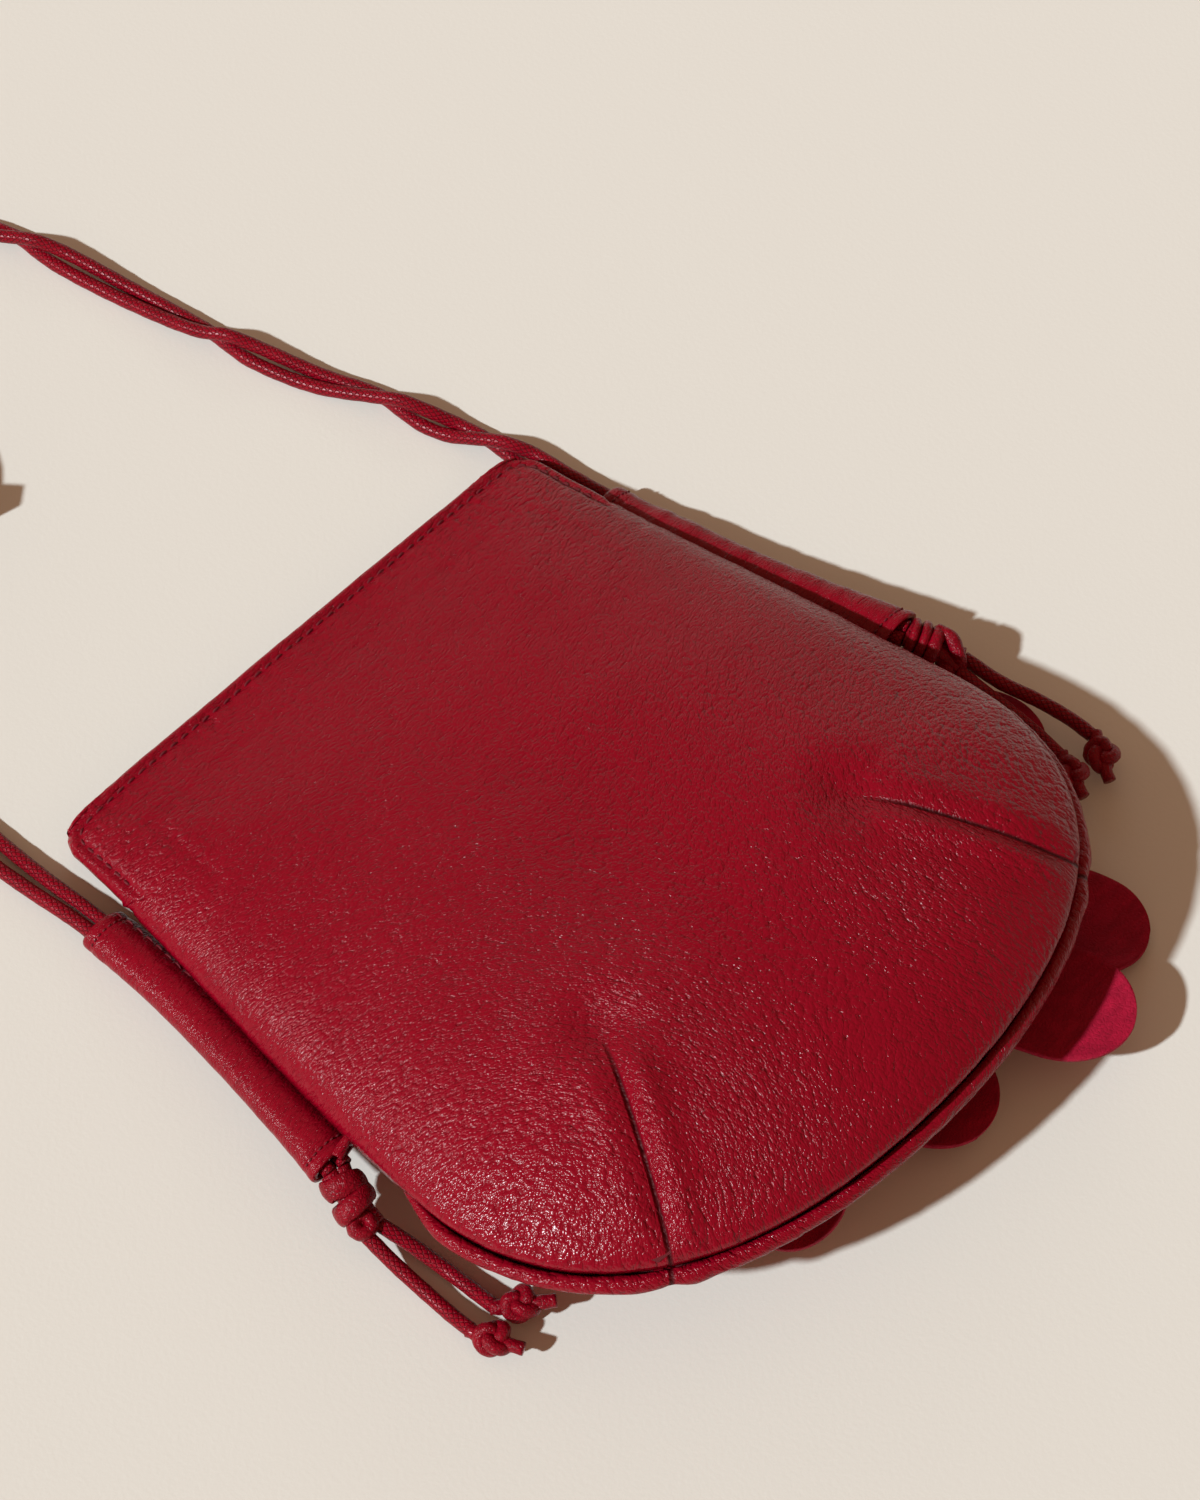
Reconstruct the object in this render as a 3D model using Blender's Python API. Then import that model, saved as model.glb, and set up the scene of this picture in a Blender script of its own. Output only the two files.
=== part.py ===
"""Small crossbody bag of soft leather, lying on its front with a leather flower beneath it.

The origin is the flat centre of the flower's button, on the surface that the bag lies on.
+Y runs from the flower towards the mouth of the bag, +X to the right, +Z up. Metres.
"""

from math import cos, exp, hypot, pi, radians, sin, tan

import bpy
import numpy as np
from mathutils import Vector

# Fits shared by every piece
GAP = 0.0003
SEAM_HALF_GAP = 0.0004
PANEL_THICKNESS = 0.0012
LINING_THICKNESS = 0.0008

# Bag outline, seen from above: half widths from the bag's middle line, lengths from the mouth
BAG_MIDDLE_X = -0.022
MOUTH_Y = 0.1225
BAG_LENGTH = 0.197
MOUTH_HALF_WIDTH = 0.0765
BAG_HALF_WIDTH = 0.0888
WIDEST_FROM_MOUTH = 0.1345
MOUTH_CORNER_RADIUS = 0.008
MOUTH_FLARE = 0.0022
SIDE_UPPER_HANDLE = 0.040
SIDE_LOWER_HANDLE = 0.042
BOTTOM_SIDE_HANDLE = 0.040
BOTTOM_FLATNESS = 0.055

# Heights: the seam plane climbs from the mouth to the bottom, which the flower holds up
SEAM_HEIGHT_AT_MOUTH = 0.0054
SEAM_SLOPE = 0.12
BACK_HEM_RISE = 0.0034
BACK_HEM_ARCH = 0.0010
BACK_FULLNESS = 0.0182
BACK_FULLNESS_RUN = 0.055
BACK_FULLNESS_POWER = 1.3
BACK_EDGE_RUN = 0.070
HEM_EDGE_RUN = 0.012
FRONT_HEM_DEPTH = 0.016
FRONT_LIFT = 0.0155
FRONT_LIFT_RUN = 0.085
FRONT_EDGE_RUN = 0.040

# The panels roll outwards past the seam, but not where the sleeves and knots lie
ROLL_REACH = 0.0047
ROLL_WIDTH = 0.002
BACK_ROLL_START = 0.100
FRONT_ROLL_START = 0.125
ROLL_FADE = 0.025
FRONT_TUCK = 0.0034
FRONT_TUCK_FADE = 0.020

# Facings and lining lie on the same net of lines as the panels
PANEL_CELLS = 18
LINING_FIRST_LINE = 3
FACING_FIRST_LINE = 14
FACING_TOP = 0.998

# Snap at the middle of the mouth
SNAP_FROM_MOUTH = 0.0095
SNAP_RADIUS = 0.0060
SNAP_THICKNESS = 0.0014

# Sleeves in the side seams, and the cords that run through them
RIGHT_SLEEVE_FROM_MOUTH = 0.0245
RIGHT_SLEEVE_LENGTH = 0.080
LEFT_SLEEVE_FROM_MOUTH = 0.0235
LEFT_SLEEVE_LENGTH = 0.084
SLEEVE_HALF_WIDTH = 0.0055
SLEEVE_HALF_HEIGHT = 0.00385
SLEEVE_WALL = 0.0013
RIGHT_SLEEVE_OUT = (0.0025, 0.0038, 0.0080)
LEFT_SLEEVE_OUT = (0.0064, 0.0037, 0.0046)
CORD_RADIUS = 0.0017
CORD_STEP = 0.0085

# Coil of the strap that lies away from the bag, and its tie
COIL_CENTRE = (-0.070, 0.228)
COIL_INNER_RADIUS = 0.0119
COIL_OUTER_RADIUS = 0.0255
COIL_HEIGHT = 0.0136
COIL_CORNER = 0.0017
TIE_THICKNESS = 0.0008
TIE_WIDTH = 0.005
TIE_ANGLE = radians(-50)

# Knots
BIG_KNOT_RADIUS = 0.0070
BIG_KNOT_FACE_RADIUS = 0.0040
END_KNOT_RADIUS = 0.0043

# Flower: petal layers are named from the bag down to the surface
PETAL_THICKNESS = 0.0012
PETAL_ROOT_RADIUS = 0.0046
PETAL_ROOT_HALF_WIDTH = 0.0020
PETAL_HALF_WIDTH = 0.0190
PETAL_WEDGE = radians(45)
INNER_PETAL_HALF_WIDTH = 0.0125
INNER_PETAL_WEDGE = radians(72)
OUTER_ROOT_HEIGHT = 0.0090
LAYER_DROP = 0.0022
PETAL_SIDE_GAP = 0.0006
FIRST_PETAL_ANGLE = radians(-11)
BASE_RADIUS = 0.015
BUTTON_RADIUS = 0.0075
BUTTON_FACE_RADIUS = 0.0055
BUTTON_CLEARANCE = 0.0002
SHANK_RADIUS = 0.0040

# Length, tip height and extra turn in degrees of each petal, from FIRST_PETAL_ANGLE to the left
OUTER_PETALS = ((0.084, 0.0024, 0), (0.084, 0.0030, 0), (0.084, 0.0027, 0),
                (0.084, 0.0040, 0), (0.091, 0.0070, 0), (0.093, 0.0100, 0))
MIDDLE_PETALS = ((0.072, 0.0006, 0), (0.084, 0.0006, 0), (0.084, 0.0006, 0),
                 (0.084, 0.0006, 0), (0.080, 0.0053, 3), (0.092, 0.0007, -11))
INNER_PETALS = ((0.028, 0.0012, 0),) * 5

# Cord routes, chosen by eye along the middle of each cord
RIGHT_CORD_1 = (
    (0.0753, 0.0170, 0.0139), (0.0720, 0.0318, 0.0121), (0.0683, 0.0486, 0.0101),
    (0.0649, 0.0654, 0.0081), (0.0620, 0.0822, 0.0061), (0.0601, 0.0980, 0.0042),
    (0.0584, 0.1110, 0.0036), (0.0567, 0.1207, 0.0044), (0.0536, 0.1272, 0.0058),
    (0.0505, 0.1337, 0.0044), (0.0477, 0.1405, 0.0020), (0.0455, 0.1478, 0.0018),
    (0.0452, 0.1549, 0.0018), (0.0449, 0.1620, 0.0018), (0.0395, 0.1765, 0.0020),
    (0.0332, 0.1937, 0.0044), (0.0301, 0.2002, 0.0058), (0.0270, 0.2067, 0.0044),
    (0.0220, 0.2285, 0.0020), (0.0179, 0.2504, 0.0018), (0.0176, 0.2575, 0.0018),
    (0.0173, 0.2646, 0.0018), (0.0098, 0.2810, 0.0018), (-0.0055, 0.2910, 0.0018),
    (-0.0250, 0.2875, 0.0020), (-0.0445, 0.2725, 0.0023), (-0.0590, 0.2602, 0.0026),
    (-0.0700, 0.2556, 0.0028))
RIGHT_CORD_2 = (
    (0.0718, 0.0157, 0.0140), (0.0683, 0.0318, 0.0121), (0.0646, 0.0486, 0.0101),
    (0.0612, 0.0654, 0.0081), (0.0583, 0.0822, 0.0061), (0.0564, 0.0980, 0.0041),
    (0.0548, 0.1105, 0.0026), (0.0539, 0.1201, 0.0018), (0.0536, 0.1272, 0.0018),
    (0.0533, 0.1343, 0.0018), (0.0517, 0.1415, 0.0020), (0.0483, 0.1484, 0.0044),
    (0.0452, 0.1549, 0.0058), (0.0421, 0.1614, 0.0044), (0.0355, 0.1755, 0.0020),
    (0.0304, 0.1931, 0.0018), (0.0301, 0.2002, 0.0018), (0.0298, 0.2073, 0.0018),
    (0.0260, 0.2295, 0.0020), (0.0207, 0.2510, 0.0044), (0.0176, 0.2575, 0.0058),
    (0.0145, 0.2640, 0.0044), (0.0060, 0.2772, 0.0024), (-0.0080, 0.2858, 0.0024),
    (-0.0245, 0.2822, 0.0032), (-0.0415, 0.2680, 0.0054), (-0.0575, 0.2578, 0.0082),
    (-0.0700, 0.2556, 0.0096))
LEFT_CORD_1 = (
    (-0.0976, 0.2280, 0.0062), (-0.1005, 0.2050, 0.0040), (-0.1036, 0.1800, 0.0023),
    (-0.1055, 0.1560, 0.0019), (-0.1055, 0.1340, 0.0020), (-0.1052, 0.1190, 0.0028),
    (-0.1045, 0.1060, 0.0037), (-0.1042, 0.0990, 0.0041), (-0.1046, 0.0822, 0.0061),
    (-0.1058, 0.0654, 0.0081), (-0.1077, 0.0486, 0.0101), (-0.1099, 0.0318, 0.0121),
    (-0.1126, 0.0130, 0.0143))
LEFT_CORD_2 = (
    (-0.0976, 0.2280, 0.0130), (-0.1030, 0.2060, 0.0095), (-0.1085, 0.1800, 0.0045),
    (-0.1115, 0.1560, 0.0020), (-0.1112, 0.1370, 0.0020), (-0.1098, 0.1190, 0.0028),
    (-0.1084, 0.1060, 0.0037), (-0.1080, 0.0990, 0.0041), (-0.1083, 0.0822, 0.0061),
    (-0.1095, 0.0654, 0.0081), (-0.1113, 0.0486, 0.0101), (-0.1136, 0.0318, 0.0121),
    (-0.1163, 0.0136, 0.0143))
LEFT_TAIL_1 = (
    (-0.1192, 0.0009, 0.0072), (-0.1190, -0.0080, 0.0046), (-0.1185, -0.0190, 0.0026),
    (-0.1185, -0.0255, 0.0029), (-0.1185, -0.0302, 0.0039))
LEFT_TAIL_2 = (
    (-0.1155, 0.0003, 0.0073), (-0.1134, -0.0075, 0.0048), (-0.1118, -0.0165, 0.0028),
    (-0.1113, -0.0240, 0.0030), (-0.1112, -0.0298, 0.0039))
RIGHT_TAIL_1 = (
    (0.0802, 0.0037, 0.0098), (0.0816, -0.0060, 0.0084), (0.0846, -0.0161, 0.0072),
    (0.0863, -0.0245, 0.0062), (0.0865, -0.0303, 0.0058))
RIGHT_TAIL_2 = (
    (0.0766, 0.0024, 0.0096), (0.0769, -0.0070, 0.0086), (0.0770, -0.0165, 0.0081),
    (0.0764, -0.0245, 0.0081), (0.0758, -0.0293, 0.0081))

# Ends of the knots: where the cords come in, where they leave
LEFT_KNOT = ((-0.1152, 0.0129, 0.0133), (-0.1174, 0.0014, 0.0080))
RIGHT_KNOT = ((0.0740, 0.0156, 0.0138), (0.0784, 0.0040, 0.0102))
LEFT_END_KNOT_1 = ((-0.1183, -0.0314, 0.0043), (-0.1138, -0.0430, 0.0052))
LEFT_END_KNOT_2 = ((-0.1106, -0.0310, 0.0044), (-0.1009, -0.0404, 0.0068))
RIGHT_END_KNOT_1 = ((0.0864, -0.0318, 0.0058), (0.0795, -0.0420, 0.0048))
RIGHT_END_KNOT_2 = ((0.0756, -0.0306, 0.0081), (0.0705, -0.0415, 0.0078))


def smooth(value):
    value = np.clip(value, 0.0, 1.0)
    return value * value * (3.0 - 2.0 * value)


def bezier(start, start_handle, end_handle, end, count=240):
    t = np.linspace(0.0, 1.0, count)[:, None]
    points = [np.array(point) for point in (start, start_handle, end_handle, end)]
    return ((1 - t) ** 3 * points[0] + 3 * (1 - t) ** 2 * t * points[1]
            + 3 * (1 - t) * t ** 2 * points[2] + t ** 3 * points[3])


def side_curves():
    """The right half of the outline: bottom to the dart's foot, foot to the mouth corner, mouth."""
    widest = (BAG_HALF_WIDTH, WIDEST_FROM_MOUTH)
    shoulder = (MOUTH_HALF_WIDTH, MOUTH_CORNER_RADIUS)
    bottom = bezier((0.0, BAG_LENGTH), (BOTTOM_FLATNESS, BAG_LENGTH),
                    (BAG_HALF_WIDTH, WIDEST_FROM_MOUTH + BOTTOM_SIDE_HANDLE), widest)
    side = bezier(widest, (BAG_HALF_WIDTH, WIDEST_FROM_MOUTH - SIDE_LOWER_HANDLE),
                  (MOUTH_HALF_WIDTH + MOUTH_FLARE, MOUTH_CORNER_RADIUS + SIDE_UPPER_HANDLE),
                  shoulder)
    angles = np.linspace(0.0, pi / 2, 41)[:, None]
    centre = np.array((MOUTH_HALF_WIDTH - MOUTH_CORNER_RADIUS, MOUTH_CORNER_RADIUS))
    turn = np.hstack((np.cos(angles), -np.sin(angles)))
    corner = centre + MOUTH_CORNER_RADIUS * turn
    half = len(bottom) // 2
    to_foot = bottom[:half + 1]
    to_corner = np.vstack((bottom[half:], side[1:], corner[1:21]))
    to_middle = np.vstack((corner[20:], ((0.0, 0.0),)))
    return to_foot, to_corner, to_middle


def mirrored(points):
    return points * np.array((-1.0, 1.0))


def along(points, share):
    """Points at shares of a polyline's length."""
    steps = np.linalg.norm(np.diff(points, axis=0), axis=1)
    lengths = np.concatenate(((0.0,), np.cumsum(steps)))
    wanted = np.asarray(share) * lengths[-1]
    return np.stack([np.interp(wanted, lengths, points[:, axis]) for axis in (0, 1)], axis=-1)


def patch(u, v):
    """Net over the outline: u runs across from left to right, v from the bottom to the mouth."""
    to_foot, to_corner, to_middle = side_curves()
    bottom = np.vstack((mirrored(to_foot)[::-1], to_foot[1:]))
    mouth = np.vstack((mirrored(to_middle), to_middle[::-1][1:]))
    right = to_corner
    left = mirrored(to_corner)
    lower, upper = along(bottom, u), along(mouth, u)
    west, east = along(left, v), along(right, v)
    u, v = u[..., None], v[..., None]
    corners = ((1 - u) * (1 - v) * left[0] + u * (1 - v) * right[0]
               + (1 - u) * v * left[-1] + u * v * right[-1])
    return (1 - v) * lower + v * upper + (1 - u) * west + u * east - corners


def rim_distance(points):
    """Distance to the sewn edge and the outward direction there, for each point of the net."""
    to_foot, to_corner, to_middle = side_curves()
    right = np.vstack((to_foot, to_corner[1:]))
    rim = np.vstack((mirrored(right)[::-1], right[1:]))
    rim = along(rim, np.linspace(0.0, 1.0, 1400))
    tangent = np.gradient(rim, axis=0)
    tangent /= np.linalg.norm(tangent, axis=1)[:, None]
    outward = np.stack((tangent[:, 1], -tangent[:, 0]), axis=1)
    inside = np.array((0.0, WIDEST_FROM_MOUTH)) - rim
    outward *= -np.sign(np.sum(outward * inside, axis=1))[:, None]
    flat = points.reshape(-1, 2)
    apart = np.linalg.norm(flat[:, None, :] - rim[None, :, :], axis=2)
    nearest = np.argmin(apart, axis=1)
    distance = apart[np.arange(len(flat)), nearest].reshape(points.shape[:-1])
    return distance, outward[nearest].reshape(points.shape)


def seam_height(s):
    return SEAM_HEIGHT_AT_MOUTH + SEAM_SLOPE * s


def front_height(s):
    """Height of the front panel's lowest part: its hem lies flat, then it climbs over the flower."""
    climb = np.clip(s - FRONT_HEM_DEPTH, 0.0, None) / FRONT_LIFT_RUN
    return FRONT_LIFT * (1.0 - np.exp(-climb))


def flower_slope():
    """How steeply the front panel climbs above the flower."""
    return FRONT_LIFT / FRONT_LIFT_RUN * exp(-(MOUTH_Y - FRONT_HEM_DEPTH) / FRONT_LIFT_RUN)


def rounded_edge(distance, run):
    """A quarter ellipse that climbs from the sewn edge to the full height."""
    return np.sqrt(np.clip(1.0 - (1.0 - np.clip(distance / run, 0.0, 1.0)) ** 2, 0.0, 1.0))


def panel_point(u, v, side):
    """Outer face of a panel: side is 1 for the back, which faces up, and -1 for the front."""
    flat = patch(u, v)
    distance, outward = rim_distance(flat)
    x, s = flat[..., 0], flat[..., 1]
    if side > 0:
        run = HEM_EDGE_RUN + (BACK_EDGE_RUN - HEM_EDGE_RUN) * smooth(s / BACK_EDGE_RUN)
        arch = BACK_HEM_ARCH * np.clip(1.0 - (x / MOUTH_HALF_WIDTH) ** 2, 0.0, 1.0)
        arch = arch * np.exp(-s / BACK_EDGE_RUN)
        growth = 1.0 - np.exp(-(np.clip(s, 0.0, None) / BACK_FULLNESS_RUN) ** BACK_FULLNESS_POWER)
        full = BACK_HEM_RISE + arch + BACK_FULLNESS * growth
        roll = smooth((s - BACK_ROLL_START) / ROLL_FADE)
        tuck = np.zeros_like(s)
    else:
        run = HEM_EDGE_RUN + (FRONT_EDGE_RUN - HEM_EDGE_RUN) * smooth(s / BACK_EDGE_RUN)
        full = seam_height(s) - SEAM_HALF_GAP - front_height(s)
        roll = smooth((s - FRONT_ROLL_START) / ROLL_FADE)
        tuck = FRONT_TUCK * smooth(s / FRONT_TUCK_FADE) * (1.0 - roll)
    height = seam_height(s) + side * (SEAM_HALF_GAP + full * rounded_edge(distance, run))
    reach = ROLL_REACH * roll * (distance / ROLL_WIDTH) * np.exp(1.0 - distance / ROLL_WIDTH)
    near_edge = np.exp(-distance / FRONT_EDGE_RUN)
    shift = (reach - tuck * near_edge)[..., None] * outward
    return np.stack((BAG_MIDDLE_X + x + shift[..., 0], MOUTH_Y - s - shift[..., 1], height), axis=-1)


def panel_normal(u, v, side):
    """Unit normals that point out of the bag, from small steps along the net."""
    step = 0.004
    across = (panel_point(np.clip(u + step, 0, 1), v, side)
              - panel_point(np.clip(u - step, 0, 1), v, side))
    upward = (panel_point(u, np.clip(v + step, 0, 1), side)
              - panel_point(u, np.clip(v - step, 0, 1), side))
    normal = side * np.cross(across, upward)
    return normal / np.linalg.norm(normal, axis=-1)[..., None]


def graded(cells):
    """Net lines that lie closer together near both edges."""
    return 0.5 * (1.0 - np.cos(pi * np.arange(cells + 1) / cells))


def material(name, color, roughness, metallic=0.0):
    made = bpy.data.materials.new(name)
    made.use_nodes = True
    shader = made.node_tree.nodes["Principled BSDF"]
    shader.inputs["Base Color"].default_value = (*color, 1.0)
    shader.inputs["Roughness"].default_value = roughness
    shader.inputs["Metallic"].default_value = metallic
    return made


def add_mesh(name, vertices, faces, surface):
    mesh = bpy.data.meshes.new(name)
    mesh.from_pydata([tuple(vertex) for vertex in vertices], [], faces)
    mesh.update()
    mesh.shade_smooth()
    piece = bpy.data.objects.new(name, mesh)
    bpy.context.collection.objects.link(piece)
    piece.data.materials.append(surface)
    return piece


def net_faces(rows, columns, flipped=False, closed=False):
    """Quads of a net of points stored row by row; a closed net joins its last column to its first."""
    faces = []
    for row in range(rows - 1):
        for column in range(columns if closed else columns - 1):
            after = (column + 1) % columns
            quad = (row * columns + column, row * columns + after,
                    (row + 1) * columns + after, (row + 1) * columns + column)
            faces.append(quad[::-1] if flipped else quad)
    return faces


def add_sheet(name, points, thickness, surface, flipped=False, offset=-1.0, closed=False):
    """A net of points given a thickness: offset -1 keeps the net as the outer face."""
    rows, columns = points.shape[:2]
    faces = net_faces(rows, columns, flipped, closed)
    piece = add_mesh(name, points.reshape(-1, 3), faces, surface)
    solid = piece.modifiers.new("Thickness", "SOLIDIFY")
    solid.thickness = thickness
    solid.offset = offset
    return piece


def add_turned(name, profile, start, direction, surface, sides=14, ring=False):
    """Turn (radius, distance) points about the axis; a ring's profile is closed on itself."""
    axis = Vector(direction).normalized()
    turn = axis.to_track_quat("Z", "Y")
    vertices, loops = [], []
    for radius, distance in profile:
        loop = []
        count = 1 if radius == 0 else sides
        for index in range(count):
            angle = 2 * pi * index / sides
            spot = turn @ Vector((radius * cos(angle), radius * sin(angle), distance))
            loop.append(len(vertices))
            vertices.append(Vector(start) + spot)
        loops.append(loop)
    pairs = list(zip(loops, loops[1:] + loops[:1] if ring else loops[1:]))
    faces = []
    for below, above in pairs:
        for index in range(sides):
            after = (index + 1) % sides
            corners = [below[index % len(below)], below[after % len(below)],
                       above[after % len(above)], above[index % len(above)]]
            face = list(dict.fromkeys(corners))
            if len(face) > 2:
                faces.append(face)
    return add_mesh(name, vertices, faces, surface)


def add_panel(name, side, surface):
    lines = graded(PANEL_CELLS)
    u, v = np.meshgrid(lines, lines)
    return add_sheet(name, panel_point(u, v, side), PANEL_THICKNESS, surface, flipped=side < 0)


def add_inner_layer(name, side, first_line, last_share, surface):
    """A layer behind a panel, on the panel's own net lines, from one share of its length on."""
    lines = graded(PANEL_CELLS)
    across = lines[LINING_FIRST_LINE:-LINING_FIRST_LINE]
    inside = lines[(lines > first_line) & (lines < last_share)]
    length = np.concatenate(((first_line,), inside, (last_share,)))
    u, v = np.meshgrid(across, length)
    depth = PANEL_THICKNESS + GAP
    points = panel_point(u, v, side) - depth * panel_normal(u, v, side)
    return add_sheet(name, points, LINING_THICKNESS, surface, flipped=side < 0)


def add_linings(surface):
    lines = graded(PANEL_CELLS)
    split = lines[FACING_FIRST_LINE]
    first = lines[LINING_FIRST_LINE]
    seam_share = GAP / BAG_LENGTH
    for name, side in (("lining_back", 1), ("lining_front", -1)):
        add_inner_layer(name, side, first, split - seam_share, surface)


def add_facings(surface):
    split = graded(PANEL_CELLS)[FACING_FIRST_LINE]
    for name, side in (("back_facing", 1), ("front_facing", -1)):
        add_inner_layer(name, side, split, FACING_TOP, surface)


def mouth_share():
    """Where the snap sits on the net."""
    return np.array([0.5]), np.array([1.0 - SNAP_FROM_MOUTH / BAG_LENGTH])


def add_snap(name, side, surface):
    u, v = mouth_share()
    outward = panel_normal(u, v, side)[0]
    depth = PANEL_THICKNESS + LINING_THICKNESS + 3 * GAP
    start = panel_point(u, v, side)[0] - depth * outward
    profile = ((0.0, 0.0), (SNAP_RADIUS, 0.0), (SNAP_RADIUS, SNAP_THICKNESS),
               (0.0, SNAP_THICKNESS))
    piece = add_turned(name, profile, start, -outward, surface, sides=20)
    piece.data.set_sharp_from_angle(angle=radians(40))
    return piece


def side_reach(s):
    """Half width of the bag at a distance from the mouth, along its side."""
    to_foot, to_corner, to_middle = side_curves()
    order = np.argsort(to_corner[:, 1])
    return np.interp(s, to_corner[order, 1], to_corner[order, 0])


def add_sleeve(name, direction, from_mouth, length, outs, surface):
    """A leather tube just below the back panel's edge, open at both ends for the cords."""
    stations = np.linspace(0.0, 1.0, 8)
    s = from_mouth + length * stations
    middle_weight = 4 * stations * (1 - stations)
    out = outs[0] * (1 - stations) + outs[2] * stations
    out = out + middle_weight * (outs[1] - (outs[0] + outs[2]) / 2)
    x = BAG_MIDDLE_X + direction * (side_reach(s) + out)
    y = MOUTH_Y - s
    z = seam_height(s) - SLEEVE_HALF_HEIGHT - GAP
    rows = []
    for index in range(len(s)):
        ring = []
        for corner in range(16):
            angle = 2 * pi * corner / 16
            ring.append((x[index] + SLEEVE_HALF_WIDTH * cos(angle), y[index],
                         z[index] + SLEEVE_HALF_HEIGHT * sin(angle)))
        rows.append(ring)
    return add_sheet(name, np.array(rows), SLEEVE_WALL, surface, closed=True)


def smooth_route(points):
    """A smooth curve through the chosen points, read at even steps."""
    points = np.array(points)
    chord = np.sqrt(np.linalg.norm(np.diff(points, axis=0), axis=1))
    knots = np.concatenate(((0.0,), np.cumsum(chord)))
    padded = np.vstack((2 * points[0] - points[1], points, 2 * points[-1] - points[-2]))
    times = np.concatenate(((-chord[0],), knots, (knots[-1] + chord[-1],)))
    fine = []
    for index in range(len(points) - 1):
        t0, t1, t2, t3 = times[index:index + 4]
        p0, p1, p2, p3 = padded[index:index + 4]
        for share in np.linspace(0.0, 1.0, 24, endpoint=False):
            t = t1 + share * (t2 - t1)
            a1 = p0 * (t1 - t) / (t1 - t0) + p1 * (t - t0) / (t1 - t0)
            a2 = p1 * (t2 - t) / (t2 - t1) + p2 * (t - t1) / (t2 - t1)
            a3 = p2 * (t3 - t) / (t3 - t2) + p3 * (t - t2) / (t3 - t2)
            b1 = a1 * (t2 - t) / (t2 - t0) + a2 * (t - t0) / (t2 - t0)
            b2 = a2 * (t3 - t) / (t3 - t1) + a3 * (t - t1) / (t3 - t1)
            fine.append(b1 * (t2 - t) / (t2 - t1) + b2 * (t - t1) / (t2 - t1))
    fine.append(points[-1])
    fine = np.array(fine)
    steps = np.linalg.norm(np.diff(fine, axis=0), axis=1)
    lengths = np.concatenate(((0.0,), np.cumsum(steps)))
    count = max(4, round(lengths[-1] / CORD_STEP) + 1)
    wanted = np.linspace(0.0, lengths[-1], count)
    return np.stack([np.interp(wanted, lengths, fine[:, axis]) for axis in range(3)], axis=1)


def add_cord(name, route, surface):
    curve = bpy.data.curves.new(name, "CURVE")
    curve.dimensions = "3D"
    curve.bevel_depth = CORD_RADIUS
    curve.bevel_resolution = 2
    curve.use_fill_caps = True
    points = smooth_route(route)
    spline = curve.splines.new("POLY")
    spline.points.add(len(points) - 1)
    for slot, point in zip(spline.points, points):
        slot.co = (*point, 1.0)
    piece = bpy.data.objects.new(name, curve)
    bpy.context.collection.objects.link(piece)
    piece.data.materials.append(surface)
    return piece


def add_coil(surface):
    """The outer shape of the coiled strap: a turned ring with rounded corners."""
    bottom = TIE_THICKNESS + GAP
    corners = ((COIL_OUTER_RADIUS, 0.0, -90), (COIL_OUTER_RADIUS, COIL_HEIGHT, 0),
               (COIL_INNER_RADIUS, COIL_HEIGHT, 90), (COIL_INNER_RADIUS, 0.0, 180))
    profile = []
    for radius, height, turn in corners:
        centre_radius = radius - COIL_CORNER if radius > COIL_INNER_RADIUS else radius + COIL_CORNER
        centre_height = COIL_CORNER if height == 0 else height - COIL_CORNER
        for angle in (turn, turn + 45, turn + 90):
            profile.append((centre_radius + COIL_CORNER * cos(radians(angle)),
                            centre_height + COIL_CORNER * sin(radians(angle))))
    return add_turned("strap_coil", profile, (*COIL_CENTRE, bottom), (0, 0, 1), surface,
                      sides=32, ring=True)


def add_tie(surface):
    """A flat band round the coil."""
    inner = (COIL_INNER_RADIUS ** 2 - (TIE_WIDTH / 2) ** 2) ** 0.5 - 2 * GAP
    outer = COIL_OUTER_RADIUS + GAP
    low, high = TIE_THICKNESS, TIE_THICKNESS + 2 * GAP + COIL_HEIGHT
    corner = COIL_CORNER
    outline = []
    for radius, height, turn in ((outer - corner, low + corner, -90), (outer - corner, high - corner, 0),
                                 (inner + corner, high - corner, 90), (inner + corner, low + corner, 180)):
        for angle in (turn, turn + 30, turn + 60, turn + 90):
            outline.append((radius + corner * cos(radians(angle)), height + corner * sin(radians(angle))))
    radial = np.array((cos(TIE_ANGLE), sin(TIE_ANGLE), 0.0))
    beside = np.array((-sin(TIE_ANGLE), cos(TIE_ANGLE), 0.0))
    centre = np.array((*COIL_CENTRE, 0.0))
    rows = []
    for shift in (-TIE_WIDTH / 2, TIE_WIDTH / 2):
        rows.append([centre + radius * radial + shift * beside + np.array((0.0, 0.0, height))
                     for radius, height in outline])
    return add_sheet("coil_tie", np.array(rows), TIE_THICKNESS, surface, closed=True)


def add_big_knot(name, ends, surface):
    """A fat knot: a flat face for the cords at each end and two swellings between."""
    start, end = Vector(ends[0]), Vector(ends[1])
    length = (end - start).length
    profile = [(0.0, 0.0), (BIG_KNOT_FACE_RADIUS, 0.0)]
    for share, width in ((0.10, 0.82), (0.30, 1.0), (0.48, 0.90), (0.66, 0.98), (0.88, 0.80)):
        profile.append((BIG_KNOT_RADIUS * width, length * share))
    profile += [(BIG_KNOT_FACE_RADIUS, length), (0.0, length)]
    return add_turned(name, profile, start, end - start, surface)


def add_end_knot(name, ends, surface):
    """A stopper knot with a short cut end."""
    start, end = Vector(ends[0]), Vector(ends[1])
    length = (end - start).length
    profile = [(0.0, 0.0), (CORD_RADIUS, 0.0)]
    for share, width in ((0.10, 0.72), (0.28, 1.0), (0.48, 0.96), (0.66, 0.70)):
        profile.append((END_KNOT_RADIUS * width, length * share))
    profile += [(CORD_RADIUS, length * 0.74), (CORD_RADIUS, length), (0.0, length)]
    return add_turned(name, profile, start, end - start, surface, sides=12)


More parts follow.
